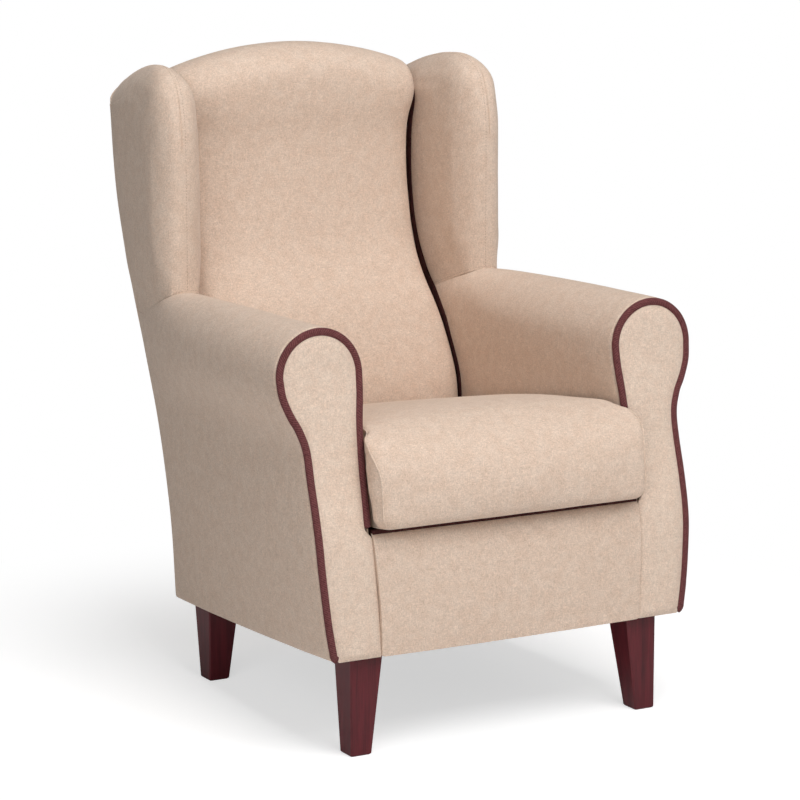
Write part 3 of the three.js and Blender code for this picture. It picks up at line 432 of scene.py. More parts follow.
def laid_box(cuts: int, place: Callable[[float, float, float], Vector]) -> BMesh:
    """Lays a finely cut box over a closed form.

    Args:
        cuts: cuts along each edge of the box.
        place: the form, from three coordinates between -1 and 1 to a point in metres.

    Returns:
        The mesh, with the three coordinates as a layer of its vertices.
    """
    mesh = bmesh.new()
    bmesh.ops.create_cube(mesh, size=2)
    bmesh.ops.subdivide_edges(mesh, edges=mesh.edges[:], cuts=cuts, use_grid_fill=True)
    box = mesh.verts.layers.float_vector.new("box")
    for vert in mesh.verts:
        vert[box] = vert.co
        vert.co = place(*vert.co)
    for face in mesh.faces:
        face.smooth = True
    bmesh.ops.recalc_face_normals(mesh, faces=mesh.faces[:])
    mesh.normal_update()
    return mesh


def box_places(mesh: BMesh) -> list[Vector]:
    """The three coordinates of each vertex of a laid box."""
    box = mesh.verts.layers.float_vector["box"]
    return [Vector(vert[box]) for vert in mesh.verts]


def rounded_corner(across: float, down: float, wide: float, deep: float) -> Pair:
    """Moves a point near a corner so that the corner's square becomes an ellipse.

    Args:
        across: distance of the point from the first face.
        down: distance from the second face.
        wide: length of the rounding along the second face.
        deep: its length along the first face.

    Returns:
        The new distances.
    """
    if down >= deep or across >= wide:
        return across, down
    u = 1 - across / wide
    v = 1 - down / deep
    length = math.hypot(u, v)
    if length < 1e-9:
        return across, down
    pull = max(u, v) / length
    return wide * (1 - u * pull), deep * (1 - v * pull)


def backed(mesh: BMesh, behind: Behind, rim: float) -> None:
    """Closes an open sheet with a second layer behind it, and rounds the rim.

    Args:
        mesh: the sheet, with its faces turned out.
        behind: where a point with a normal goes in the second layer, in metres.
        rim: radius of the rim, in metres.
    """
    borders = [edge for edge in mesh.edges if edge.is_boundary]
    order = list(mesh.verts)
    targets = [behind(vert.co.copy(), vert.normal.copy()) for vert in order]
    result = bmesh.ops.duplicate(mesh, geom=mesh.verts[:] + mesh.edges[:] + mesh.faces[:])
    pairs = result["vert_map"]
    for vert, target in zip(order, targets):
        pairs[vert].co = target
    copies = [pairs[vert] for vert in order]
    faces = {face for vert in copies for face in vert.link_faces}
    bmesh.ops.reverse_faces(mesh, faces=list(faces))
    bmesh.ops.bridge_loops(mesh, edges=[edge for edge in mesh.edges if edge.is_boundary])
    if rim > 0:
        sharp = [edge for edge in borders if edge.is_valid]
        bmesh.ops.bevel(
            mesh, geom=sharp, offset=rim, segments=RIM_SEGMENTS, affect="EDGES", profile=0.5,
            material=-1, clamp_overlap=True,
        )
    for face in mesh.faces:
        face.smooth = True
    bmesh.ops.recalc_face_normals(mesh, faces=mesh.faces[:])


def shown(mesh: BMesh, name: str) -> Object:
    """Makes an object of a mesh and links it.

    Args:
        mesh: the mesh, which is freed.
        name: the piece's name.

    Returns:
        The object.
    """
    data = bpy.data.meshes.new(name)
    mesh.to_mesh(data)
    mesh.free()
    piece = bpy.data.objects.new(name, data)
    bpy.context.scene.collection.objects.link(piece)
    return piece


def reworked(piece: Object, work: Callable[[BMesh], None]) -> None:
    """Changes the mesh of a piece.

    Args:
        piece: the piece.
        work: what is done to its mesh.
    """
    mesh = bmesh.new()
    mesh.from_mesh(piece.data)
    mesh.normal_update()
    work(mesh)
    mesh.to_mesh(piece.data)
    mesh.free()


def both_sides(right: Object) -> list[tuple[Side, Object]]:
    """A piece of the right side and its mirrored copy.

    Args:
        right: the piece, whose name starts with its side.

    Returns:
        The two pieces, each after its side.
    """
    mesh = bmesh.new()
    mesh.from_mesh(right.data)
    bmesh.ops.scale(mesh, vec=(-1, 1, 1), verts=mesh.verts[:])
    bmesh.ops.reverse_faces(mesh, faces=mesh.faces[:])
    left = shown(mesh, right.name.replace(Side.RIGHT.label, Side.LEFT.label, 1))
    return [(Side.RIGHT, right), (Side.LEFT, left)]


def uneven(mesh: BMesh, depth: float, length: float) -> None:
    """Gives a surface the waviness of hand upholstery, so deep and so long in metres."""
    moves = [vert.normal * (noise.noise(vert.co / length) * depth) for vert in mesh.verts]
    for vert, move in zip(mesh.verts, moves):
        vert.co += move


def worn(piece: Object) -> Object:
    """A piece as its modifiers leave it."""
    bpy.context.view_layer.update()
    return piece.evaluated_get(bpy.context.evaluated_depsgraph_get())


@dataclass(frozen=True)
class Sheet:
    """How a sheet is laid: its grid, a point behind it, its back layer, its rim and its held edges."""

    columns: int
    rows: int
    core: Point
    back: Point = (0, 0, 0)
    rim: float = 0
    merge: float = 0
    weights: tuple[float, float, float, float] = (1, 1, 1, 1)
    free_share: float = 0.08

    def lay(self, place: Place) -> BMesh:
        """Lays the sheet, with its faces turned away from the point behind it.

        Args:
            place: the surface, from two shares to a point in metres.

        Returns:
            The mesh.
        """
        mesh = laid_grid(self.columns, self.rows, place)
        if self.merge:
            bmesh.ops.remove_doubles(mesh, verts=mesh.verts[:], dist=self.merge * MM)
        inside = Vector(self.core) * MM
        lean = sum(face.normal.dot(face.calc_center_median() - inside) for face in mesh.faces)
        if lean < 0:
            bmesh.ops.reverse_faces(mesh, faces=mesh.faces[:])
        mesh.normal_update()
        return mesh

    def slab(self, place: Place, name: str) -> Object:
        """Lays the sheet and closes it with its back layer.

        Args:
            place: the surface, from two shares to a point in metres.
            name: the piece's name.

        Returns:
            The piece.
        """
        mesh = self.lay(place)
        back = Vector(self.back) * MM
        backed(mesh, lambda spot, normal: spot + back, self.rim * MM)
        return shown(mesh, name)

    def held(self, mesh: BMesh) -> list[float]:
        """How far the seams along the edges hold each vertex, from 1 to 0 where it is free."""
        cloth = mesh.loops.layers.uv["Cloth"]
        held = []
        for vert in mesh.verts:
            u, v = vert.link_loops[0][cloth].uv
            away = min(weight * far for weight, far in zip(self.weights, (u, 1 - u, v, 1 - v)))
            held.append(1 - smooth(away / self.free_share))
        return held


@dataclass(frozen=True)
class Stuffing:
    """How a padded piece is blown up against the seams that hold it."""

    pressure: float = 4
    most: float = 6
    frames: int = 20
    quality: int = 6
    mass: float = 0.3
    stiffness: float = 15
    shear: float = 5
    bending: float = 0.5
    calm: int = 12
    calm_share: float = 0.6

    def fill(self, piece: Object, held: Sequence[float]) -> None:
        """Simulates the piece as cloth under pressure and keeps the result in its mesh.

        Args:
            piece: the piece.
            held: for each vertex, 1 where a seam holds it and 0 where it is free.
        """
        start = [vert.co.copy() for vert in piece.data.vertices]
        group = piece.vertex_groups.new(name="Held")
        for index, weight in enumerate(held):
            if weight > 0:
                group.add([index], weight, "REPLACE")
        modifier = piece.modifiers.new("Stuffing", "CLOTH")
        cloth = modifier.settings
        cloth.quality = self.quality
        cloth.mass = self.mass
        cloth.tension_stiffness = self.stiffness
        cloth.compression_stiffness = self.stiffness
        cloth.shear_stiffness = self.shear
        cloth.bending_stiffness = self.bending
        cloth.use_pressure = True
        cloth.uniform_pressure_force = self.pressure
        cloth.effector_weights.gravity = 0
        cloth.vertex_group_mass = group.name
        modifier.collision_settings.use_collision = False
        scene = bpy.context.scene
        for step in range(1, self.frames + 1):
            scene.frame_set(step)
        swollen = piece.evaluated_get(bpy.context.evaluated_depsgraph_get())
        ends = [vert.co.copy() for vert in swollen.data.vertices]
        piece.modifiers.remove(modifier)
        piece.vertex_groups.clear()
        scene.frame_set(1)
        reach = self.most * MM
        moves = []
        for before, after in zip(start, ends):
            move = after - before
            if move.length > reach:
                move.length = reach
            moves.append(move)
        moves = self._calmed(piece, moves, held)
        for vert, before, move in zip(piece.data.vertices, start, moves):
            vert.co = before + move

    def pad(self, sheet: Sheet, place: Place, name: str, behind: Behind) -> Object:
        """Lays a sheet, blows it up and closes it with a layer behind it.

        Args:
            sheet: the sheet.
            place: the surface, from two shares to a point in metres.
            name: the piece's name.
            behind: where a point with a normal goes in the back layer, in metres.

        Returns:
            The piece.
        """
        mesh = sheet.lay(place)
        held = sheet.held(mesh)
        piece = shown(mesh, name)
        self.fill(piece, held)
        reworked(piece, lambda blown: backed(blown, behind, sheet.rim * MM))
        return piece

    def _calmed(self, piece: Object, moves: list[Vector], held: Sequence[float]) -> list[Vector]:
        """Evens out the moves of neighbouring points, so that no crumpling is left.

        Args:
            piece: the piece.
            moves: the move of each vertex.
            held: how far a seam holds each vertex.

        Returns:
            The evened moves.
        """
        beside: list[list[int]] = [[] for _ in moves]
        for edge in piece.data.edges:
            first, second = edge.vertices
            beside[first].append(second)
            beside[second].append(first)
        for _ in range(self.calm):
            means = [sum((moves[k] for k in near), Vector()) / len(near) for near in beside]
            moves = [
                move if weight >= 1 else move.lerp(mean, self.calm_share)
                for move, mean, weight in zip(moves, means, held)
            ]
        return moves


@dataclass(frozen=True)
class Stitching:
    """Rows of top-stitching."""

    offset: float = 6
    length: float = 3.6
    pitch: float = 5
    radius: float = 0.42
    raised_share: float = 0.3
    steps: int = 400
    sides: int = 6
    rings: int = 5

    def sew(self, name: str, form: ChairForm, side: Side, cover: Object, rows: Sequence[Line]) -> Object:
        """Lays stitches, which are drawn-out balls, along lines of a cover.

        Args:
            name: the piece's name.
            form: the chair's form.
            side: the side that the cover is on.
            cover: the cover.
            rows: for each line, a function from its share to X, depth and height on the right.

        Returns:
            The stitches, as one piece.
        """
        surface = worn(cover)
        radius = self.radius * MM
        mesh = bmesh.new()
        for row in rows:
            path = []
            for k in range(self.steps + 1):
                x, depth, height = row(k / self.steps)
                path.append(form.put(x * side.value, depth, height))
            for start, end in self._ends(path):
                start, end = self._on(surface, start), self._on(surface, end)
                turn = (end - start).to_track_quat("Z", "Y").to_matrix().to_4x4()
                size = Matrix.Diagonal((radius, radius, (end - start).length / 2, 1))
                bmesh.ops.create_uvsphere(
                    mesh, u_segments=self.sides, v_segments=self.rings, radius=1,
                    matrix=Matrix.Translation((start + end) / 2) @ turn @ size,
                )
        for face in mesh.faces:
            face.smooth = True
        return shown(mesh, name)

    def _ends(self, path: Sequence[Vector]) -> list[tuple[Vector, Vector]]:
        """The start and end of each stitch.

        Args:
            path: points of the line, in metres.

        Returns:
            Pairs of points on the line.
        """
        walked = [0.0]
        for before, after in zip(path, path[1:]):
            walked.append(walked[-1] + (after - before).length)

        def at(length: float) -> Vector:
            """The point so far along the line."""
            i = min(max(bisect_left(walked, length), 1), len(path) - 1)
            share = (length - walked[i - 1]) / max(walked[i] - walked[i - 1], 1e-9)
            return path[i - 1].lerp(path[i], share)

        pitch = self.pitch * MM
        length = self.length * MM
        return [(at(k * pitch), at(k * pitch + length)) for k in range(int(walked[-1] / pitch))]

    def _on(self, surface: Object, spot: Vector) -> Vector:
        """The place of the thread over the cover's nearest point."""
        _, near, normal, _ = surface.closest_point_on_mesh(spot)
        return near + normal * (self.radius * self.raised_share * MM)


class Wire:
    """A socket with the arithmetic that shader maths needs."""

    def __init__(self, nodes: "Nodes", socket: NodeSocket) -> None:
        """Wraps a socket of a tree."""
        self.nodes = nodes
        self.socket = socket

    def _math(self, operation: str, first: "Term", second: "Term") -> "Wire":
        """Adds a Math node."""
        node = self.nodes.node("ShaderNodeMath", {"operation": operation}, {0: first, 1: second})
        return Wire(self.nodes, node.outputs[0])

    def __add__(self, other: "Term") -> "Wire":
        """Sum."""
        return self._math("ADD", self, other)

    __radd__ = __add__

    def __sub__(self, other: "Term") -> "Wire":
        """Difference."""
        return self._math("SUBTRACT", self, other)

    def __rsub__(self, other: "Term") -> "Wire":
        """Difference, reflected."""
        return self._math("SUBTRACT", other, self)

    def __mul__(self, other: "Term") -> "Wire":
        """Product."""
        return self._math("MULTIPLY", self, other)

    __rmul__ = __mul__


Term = Union[Wire, NodeSocket, float, int, Sequence[float]]


class Nodes:
    """A tree of nodes, and the one way to add a node to it."""

    def __init__(self, tree: NodeTree) -> None:
        """Empties a tree."""
        self.tree = tree
        tree.nodes.clear()

    def node(
        self,
        kind: str,
        settings: Optional[dict[str, object]] = None,
        inputs: Optional[dict[Union[str, int], Term]] = None,
    ) -> Node:
        """Adds a node.

        Args:
            kind: the node's type.
            settings: its settings. The stops of a ramp are pairs of a place and a colour.
            inputs: values or links of its sockets.

        Returns:
            The node.
        """
        node = self.tree.nodes.new(kind)
        for key, value in (settings or {}).items():
            if key != "stops":
                setattr(node, key, value)
                continue
            elements = node.color_ramp.elements
            while len(elements) < len(value):
                elements.new(1.0)
            for element, (place, colour) in zip(elements, value):
                element.position = place
                element.color = (*colour, 1)
        for key, value in (inputs or {}).items():
            self.feed(node.inputs[key], value)
        return node

    def feed(self, socket: NodeSocket, value: Term) -> None:
        """Links a socket, or sets its value.

        Args:
            socket: the socket.
            value: a wire, another socket or a value.
        """
        source = value.socket if isinstance(value, Wire) else value
        if isinstance(source, NodeSocket):
            self.tree.links.new(source, socket)
        else:
            socket.default_value = source


class Recipe(Nodes):
    """Nodes of one finish, around a Principled shader."""

    def __init__(self, name: str) -> None:
        """Makes a material of that name."""
        self.material = bpy.data.materials.new(name)
        self.material.use_nodes = True
        super().__init__(self.material.node_tree)
        self.shader = self.node("ShaderNodeBsdfPrincipled")
        self.node("ShaderNodeOutputMaterial", {}, {"Surface": self.shader.outputs[0]})
        self.place = self.node("ShaderNodeTexCoord").outputs["Object"]

    def grain(self, scale: float, detail: float = 2, place: Optional[NodeSocket] = None) -> Wire:
        """Noise around 0.5, with so many grains to the metre."""
        node = self.node(
            "ShaderNodeTexNoise", {},
            {"Vector": place or self.place, "Scale": scale, "Detail": detail, "Roughness": 0.55},
        )
        return Wire(self, node.outputs["Fac"])

    def streaks(self, scale: Point, detail: float) -> Wire:
        """Noise that is stretched along the object's axes."""
        node = self.node("ShaderNodeMapping", {}, {"Vector": self.place, "Scale": scale})
        return self.grain(1, detail, node.outputs[0])

    def ramp(self, factor: Term, stops: Stops) -> NodeSocket:
        """A colour that follows a factor."""
        return self.node("ShaderNodeValToRGB", {"stops": stops}, {"Fac": factor}).outputs["Color"]

    def multiplied(self, share: float, first: NodeSocket, second: NodeSocket) -> NodeSocket:
        """A colour darkened or lightened by another one."""
        settings = {"data_type": "RGBA", "blend_type": "MULTIPLY"}
        return self.node("ShaderNodeMix", settings, {0: share, 6: first, 7: second}).outputs[2]

    def bump(self, height: Term, strength: float, distance: float) -> None:
        """Roughens the shader's normal by a height."""
        inputs = {"Height": height, "Strength": strength, "Distance": distance}
        node = self.node("ShaderNodeBump", {}, inputs)
        self.feed(self.shader.inputs["Normal"], node.outputs[0])

    def shade(self, **inputs: Term) -> Material:
        """Sets the shader's sockets, named with underscores for spaces."""
        for key, value in inputs.items():
            self.feed(self.shader.inputs[key.replace("_", " ")], value)
        return self.material


class Axis(Worded):
    """The way in which timber lies: across the chair, from front to rear, or upright."""

    ACROSS = 0
    DEEP = 1
    UPRIGHT = 2

    def drawn(self, across: float, length: float) -> Point:
        """A noise's scale, with another one along the axis."""
        scale = [across] * 3
        scale[self.value] = length
        return tuple(scale)


@dataclass(frozen=True)
class Velour:
    """Brushed velour: cloudy colour, crossed threads, short pile with a soft sheen."""

    name: str = "brushed_velour"
    pale: Colour = (0.69, 0.545, 0.442)
    rosy: Colour = (0.655, 0.497, 0.392)
    cloud_scale: float = 60
    cloud_stops: Pair = (0.36, 0.64)
    grain_scale: float = 500
    grain_tones: Stops = ((0.3, (0.8, 0.8, 0.8)), (0.7, (1.12, 1.12, 1.12)))
    grain_share: float = 0.75
    thread_scale: float = 500
    thread_length: float = 150
    thread_tones: Stops = ((0.38, (0.82, 0.81, 0.8)), (0.62, (1.1, 1.1, 1.1)))
    thread_share: float = 0.7
    relief: float = 0.35
    pile: float = 0.0006
    sheen: float = 0.22
    sheen_tint: tuple[float, float, float, float] = (1.0, 0.93, 0.86, 1)

    def make(self) -> Material:
        """Makes the material.

        Returns:
            The material.
        """
        recipe = Recipe(self.name)
        cloud = recipe.grain(self.cloud_scale, 4)
        colour = recipe.ramp(cloud, tuple(zip(self.cloud_stops, (self.rosy, self.pale))))
        grain = recipe.grain(self.grain_scale, 3)
        colour = recipe.multiplied(self.grain_share, colour, recipe.ramp(grain, self.grain_tones))
        scales = [axis.drawn(self.thread_scale, self.thread_length) for axis in Axis]
        threads = [recipe.streaks(scale, 1) for scale in scales]
        cross = threads[0] + threads[1] + threads[2]
        shaded = recipe.ramp(cross * 0.333, self.thread_tones)
        colour = recipe.multiplied(self.thread_share, colour, shaded)
        recipe.bump(cross * 0.6 + grain * 0.8, self.relief, self.pile)
        return recipe.shade(
            Base_Color=colour, Roughness=0.95 - grain * 0.15, Sheen_Weight=self.sheen,
            Sheen_Roughness=0.45, Sheen_Tint=self.sheen_tint, Specular_IOR_Level=0.15,
        )


@dataclass(frozen=True)
class CordCloth:
    """Dark cloth wrapped round the piping cord on the bias."""

    name: str = "burgundy_bias_cloth"
    deep: Colour = (0.05, 0.013, 0.014)
    lit: Colour = (0.2, 0.066, 0.066)
    turns: float = 300
    around: float = 8
    band_scale: float = 0.5
    band_waver: float = 1.5
    fuzz_scale: float = 520
    patch_scale: float = 210
    relief: float = 0.6
    nap: float = 0.0007
    sheen: float = 0.12
    sheen_tint: tuple[float, float, float, float] = (0.9, 0.5, 0.5, 1)

    def make(self) -> Material:
        """Makes the material.

        Returns:
            The material.
        """
        recipe = Recipe(self.name)
        along = recipe.node("ShaderNodeUVMap", {"uv_map": "Cloth"}).outputs[0]
        wound = {"Vector": along, "Scale": (self.around, self.turns, 1)}
        bands = {
            "Vector": recipe.node("ShaderNodeMapping", {}, wound).outputs[0],
            "Scale": self.band_scale, "Distortion": self.band_waver, "Detail": 1.0, "Detail Scale": 2.0,
        }
        wave = recipe.node("ShaderNodeTexWave", {"bands_direction": "DIAGONAL"}, bands)
        weave = Wire(recipe, wave.outputs["Fac"])
        fuzz = recipe.grain(self.fuzz_scale)
        patch = recipe.grain(self.patch_scale)
        tone = weave * 0.22 + fuzz * 0.55 + patch * 0.28
        colour = recipe.ramp(tone, ((0.3, self.deep), (0.75, self.lit)))
        recipe.bump(weave * 0.6 + fuzz * 0.8, self.relief, self.nap)
        return recipe.shade(
            Base_Color=colour, Roughness=0.85, Sheen_Weight=self.sheen, Sheen_Roughness=0.5,
            Sheen_Tint=self.sheen_tint, Specular_IOR_Level=0.15,
        )


@dataclass(frozen=True)
class Streaks:
    """Noise that is stretched along the object's axes."""

    scale: Point
    detail: float = 1
    tone: float = 0.5
    bump: float = 1


@dataclass(frozen=True)
class Streaked:
    """A finish whose colour and relief follow streaks: wood, webbing, deck cloth or lining."""

    name: str
    dark: Colour
    light: Colour
    streaks: tuple[Streaks, ...]
    stops: Pair
    relief: float
    roughness: float
    shine: float = 0.5
    coat: float = 0
    wear: float = 0
    wear_scale: float = 14
    relief_depth: float = 0.0004

    def make(self) -> Material:
        """Makes the material.

        Returns:
            The material.
        """
        recipe = Recipe(self.name)
        noises = [recipe.streaks(streak.scale, streak.detail) for streak in self.streaks]
        tone = noises[0] * self.streaks[0].tone + noises[1] * self.streaks[1].tone
        height = noises[0] * self.streaks[0].bump + noises[1] * self.streaks[1].bump
        colour = recipe.ramp(tone, tuple(zip(self.stops, (self.dark, self.light))))
        recipe.bump(height, self.relief, self.relief_depth)
        roughness = self.roughness
        if self.wear:
            roughness = recipe.grain(self.wear_scale, 3) * self.wear + roughness - self.wear / 2
        return recipe.shade(
            Base_Color=colour, Roughness=roughness, Coat_Weight=self.coat, Coat_Roughness=0.22,
            Specular_IOR_Level=self.shine,
        )


def timber(
    name: str, dark: Colour, light: Colour, axis: Axis = Axis.UPRIGHT, **look: float
) -> Streaked:
    """Wood with rings and pores along its length."""
    rings = Streaks(axis.drawn(90, 5), 5, 0.75, 0.4)
    pores = Streaks(axis.drawn(900, 30), 2, 0.35, 0.5)
    return Streaked(name, dark, light, (rings, pores), (0.35, 0.77), wear=0.12, **look)


def weave(name: str, dark: Colour, light: Colour, thread: float) -> Streaked:
    """A flat woven cloth with so many threads to the metre."""
    warp = Streaks((thread, thread / 8, thread / 8))
    weft = Streaks((thread / 8, thread, thread))
    return Streaked(name, dark, light, (warp, weft), (0.35, 0.65), 0.4, 0.95, shine=0.15)


@dataclass(frozen=True)
class SpringSteel:
    """Oiled spring steel and plated hardware with light scratches."""

    name: str = "plated_steel"
    tone: Colour = (0.55, 0.56, 0.58)
    stain_share: float = 0.55
    scratch_scale: Point = (1200, 200, 1200)
    stain_scale: float = 70
    relief: float = 0.15
    scratch_depth: float = 0.0002

    def make(self) -> Material:
        """Makes the material.

        Returns:
            The material.
        """
        recipe = Recipe(self.name)
        scratch = recipe.streaks(self.scratch_scale, 3)
        stain = recipe.grain(self.stain_scale, 4)
        shadow = tuple(value * self.stain_share for value in self.tone)
        colour = recipe.ramp(stain, ((0.35, shadow), (0.6, self.tone)))
        recipe.bump(scratch, self.relief, self.scratch_depth)
        return recipe.shade(Base_Color=colour, Roughness=scratch * 0.3 + 0.2, Metallic=1.0)


class Finishes:
    """The chair's finishes, made once."""

    def __init__(self) -> None:
        """Makes every material."""
        self.velour = Velour().make()
        self.facing = Velour(
            "panel_velour", pale=(0.71, 0.57, 0.465), rosy=(0.675, 0.52, 0.415), cloud_scale=70
        ).make()
        self.piping = CordCloth().make()
        self.legs = timber(
            "mahogany_stain", (0.05, 0.005, 0.008), (0.145, 0.014, 0.021),
            relief=0.12, roughness=0.42, shine=0.3, coat=0.08,
        ).make()
        self.timber = {
            axis: timber(
                f"bare_beech_{axis.label}", (0.45, 0.27, 0.14), (0.66, 0.46, 0.28), axis,
                relief=0.25, roughness=0.7, shine=0.4,
            ).make()
            for axis in Axis
        }
        self.plywood = Streaked(
            "birch_plywood", (0.42, 0.26, 0.13), (0.62, 0.44, 0.26),
            (Streaks((60, 60, 7), 5, 0.75), Streaks((8, 500, 8), 1, 0.3, 0)), (0.35, 0.7), 0.2, 0.75,
        ).make()
        # Dark deck cloth for the deck and the roll along the border; also laid in the back's crevices as
        # painted shade.
        self.deck = weave("deck_cloth", (0.03, 0.008, 0.008), (0.075, 0.024, 0.022), 900).make()
        # Sewing thread, darker than the velour: its colour also stands in for the shade in the dent along
        # each stitched line.
        self.thread = weave("sewing_thread", (0.3, 0.2, 0.15), (0.44, 0.31, 0.24), 1500).make()
        self.lining = weave("black_lining", (0.008, 0.008, 0.009), (0.022, 0.022, 0.024), 1100).make()
        self.webbing = weave("elastic_webbing", (0.015, 0.015, 0.018), (0.06, 0.06, 0.07), 500).make()
        self.steel = SpringSteel().make()

    @staticmethod
    def dress(node: str, material: Material) -> None:
        """Gives a CAD node a finish in every slot."""
        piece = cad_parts[node]
        if not piece.data.materials:
            piece.data.materials.append(material)
        for slot in piece.material_slots:
            slot.material = material


@dataclass
class Upholsterer:
    """Finishes soft pieces: waviness, cloth, and their place in the frame."""

    form: ChairForm
    finishes: Finishes
    wave_depth: float = 0.6
    wave_length: float = 85

    @staticmethod
    def declare(
        piece: Object, material: Material, slot: str, nodes: Sequence[str] = (), body: Body = Body.CHAIR
    ) -> None:
        """Gives a piece its finish, hangs it on its body and hides the CAD nodes that it stands for.

        Args:
            piece: the piece.
            material: its finish.
            slot: not used.
            nodes: the CAD nodes that it stands for, if any.
            body: the body that it rides on.
        """
        piece.data.materials.clear()
        piece.data.materials.append(material)
        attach(piece, body.value)
        if nodes:
            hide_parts(*nodes)
        log.info("%s: %d faces, for %s", piece.name, len(piece.data.polygons), ", ".join(nodes) or "show")

    def finish(
        self,
        piece: Object,
        nodes: Sequence[str],
        material: Optional[Material] = None,
        slot: str = "cover",
        body: Body = Body.CHAIR,
        fill: Optional[float] = 0.7,
        waves: Optional[float] = None,
    ) -> Object:
        """Args:
            piece: the piece.
            nodes: the CAD nodes that it stands for.
            material: its finish, or None for velour.
            slot: passed on to declare.
            body: the body that it rides on.
            fill: its fullness, or None where it isn't padded and keeps its faces.
            waves: depth of its waves in millimetres, or None for the usual one.

        Returns:
            The piece.
        """
        depth = (waves or self.wave_depth) * MM
        reworked(piece, lambda mesh: uneven(mesh, depth, self.wave_length * MM))
        if fill is not None:
            modifier = piece.modifiers.new("Smooth", "SUBSURF")
            modifier.levels = 1
            modifier.render_levels = 1
        self.declare(piece, material or self.finishes.velour, slot, nodes, body)
        return piece


@dataclass
class ScrollArms:
    """The two arms: pad, domed facing and the piping round it."""

    form: ChairForm
    shop: Upholsterer
    wall: float = 7
    lip: float = 5
    lip_share: float = 0.06
    rear_lip: float = 1.2
    rear_share: float = 0.97
    inner_share: float = 0.30
    roof_share: float = 0.54
    outer_share: float = 0.975
    under_width: float = 22
    pad_sheet: Sheet = Sheet(
        104, 66, (290, -120, 480), rim=1.2, weights=(1, 1, 0.8, 0.8), free_share=0.06
    )
    piping_radius: float = 4.7
    piping_half: float = 6.3
    piping_lap: float = 0.8
    piping_lift: float = 2
    piping_steps: int = 60
    piping_sides: int = 14
    piping_rings: int = 460
    piping_foot_share: float = 0.6
    tip_steps: float = 1.5
    tip_least: float = 0.0001
    wobble: float = 0.025
    wobble_scale: float = 60
    curl: float = 9
    curl_turn: float = math.radians(75)
    curl_steps: int = 12
    facing_dome: float = 6
    facing_power: int = 4
    facing_sink: float = 3
    facing_foot: float = 8
    facing_gap: float = 0.1
    facing_blend: float = 12
    facing_waves: float = 0.25
    facing_sheet: Sheet = Sheet(34, 84, (290, -350, 450), (0, 5, 0), 0.9, merge=0.2)
    upright_share: float = 0.74
    stuffing: Stuffing = Stuffing(pressure=1.5, most=2.5)

    def section(self, share: float, u: float, grow: float) -> Pair:
        """A point of the arm's section.

        Args:
            share: station from front to rear.
            u: 0 at the deck, over the scroll, to 1 under the lower edge.
            grow: how far the section is swollen.

        Returns:
            X and height.
        """
        form = self.form
        centre = form.arm_centre(share)
        if u < self.inner_share:
            foot = form.deck_top(share * form.body_depth) - form.deck_thickness
            height = lerp(foot, centre, u / self.inner_share)
            return form.arm_inner(share, height) - grow, height
        if u < self.roof_share:
            angle = math.pi * (self.roof_share - u) / (self.roof_share - self.inner_share)
            return form.arm_roof(share, angle, grow)
        bottom = form.arm_bottom(share)
        if u < self.outer_share:
            height = lerp(centre, bottom, (u - self.roof_share) / (self.outer_share - self.roof_share))
            return form.arm_outer(share, height) + grow, height
        drawn = self.under_width * (u - self.outer_share) / (1 - self.outer_share)
        return form.arm_outer(share, bottom) + grow - drawn, bottom

    def surface(self, u: float, v: float) -> Vector:
        """The pad's outer surface, curled in behind the piping and at the rear corner.

        Args:
            u: from the deck, over the scroll, to the lower edge.
            v: from front to rear.

        Returns:
            The point, in metres.
        """
        form = self.form
        if v < self.lip_share:
            turn = v / self.lip_share * math.pi / 2
            x, height = self.section(0, u, -self.lip * (1 - math.sin(turn)))
            return form.put(x, form.arm_front(height) + self.lip * (1 - math.cos(turn)), height)
        share = min((v - self.lip_share) / (self.rear_share - self.lip_share), 1)
        turn = max(v - self.rear_share, 0) / (1 - self.rear_share) * math.pi / 2
        x, height = self.section(share, u, -self.rear_lip * (1 - math.cos(turn)))
        low = form.arm_front(height) + self.lip
        high = form.arm_rear(height) - self.rear_lip
        return form.put(x, lerp(low, high, share) + self.rear_lip * math.sin(turn), height)

    def pad(self) -> Object:
        """The right arm's pad."""
        wall = self.wall * MM
        return self.stuffing.pad(
            self.pad_sheet, self.surface, "right_arm_cover",
            lambda spot, normal: spot - normal * wall,
        )

    def outline(self, height: float, inset: float) -> Pair:
        """The arm panel's width at a height.

        Args:
            height: the height.
            inset: how far the outline is drawn in.

        Returns:
            Inner and outer X.
        """
        form = self.form
        centre = form.arm_centre(0)
        if height <= centre:
            return form.arm_inner(0, height) + inset, form.arm_outer(0, height) - inset
        rise = (height - centre) / (form.roll_radius - inset)
        reach = (form.roll_radius - inset) * math.sqrt(max(1 - rise * rise, 0))
        return form.roll_x - reach, form.roll_x + reach

    def facing_surface(self, u: float, v: float) -> Vector:
        """The domed front of the arm.

        Args:
            u: from the inside to the outside.
            v: from the foot to the top.

        Returns:
            The point, in metres.
        """
        form = self.form
        inset = self.piping_half * 2 + form.gap - self.piping_lap
        low = form.underside_front
        centre = form.arm_centre(0)
        radius = form.roll_radius - inset
        height = lerp(low, centre, v / self.upright_share)
        if v >= self.upright_share:
            turn = (v - self.upright_share) / (1 - self.upright_share) * math.pi / 2
            height = centre + radius * math.sin(turn)
        inner, outer = self.outline(height, inset)
        if height < form.deck_height:
            beside = smooth((form.deck_height - height) / self.facing_blend)
            inner = lerp(inner, form.arm_inner(0, height) + self.facing_gap, beside)
        edge = max(abs(2 * u - 1), clamp((height - centre) / radius))
        dome = (1 - edge ** self.facing_power) * smooth((height - low) / self.facing_foot)
        depth = form.front_face(height) + self.facing_sink - self.facing_dome * dome
        return form.put(lerp(inner, outer, u), depth, height)

    def facing(self) -> Object:
        """The right arm's facing."""
        return self.facing_sheet.slab(self.facing_surface, "right_arm_facing_cover")

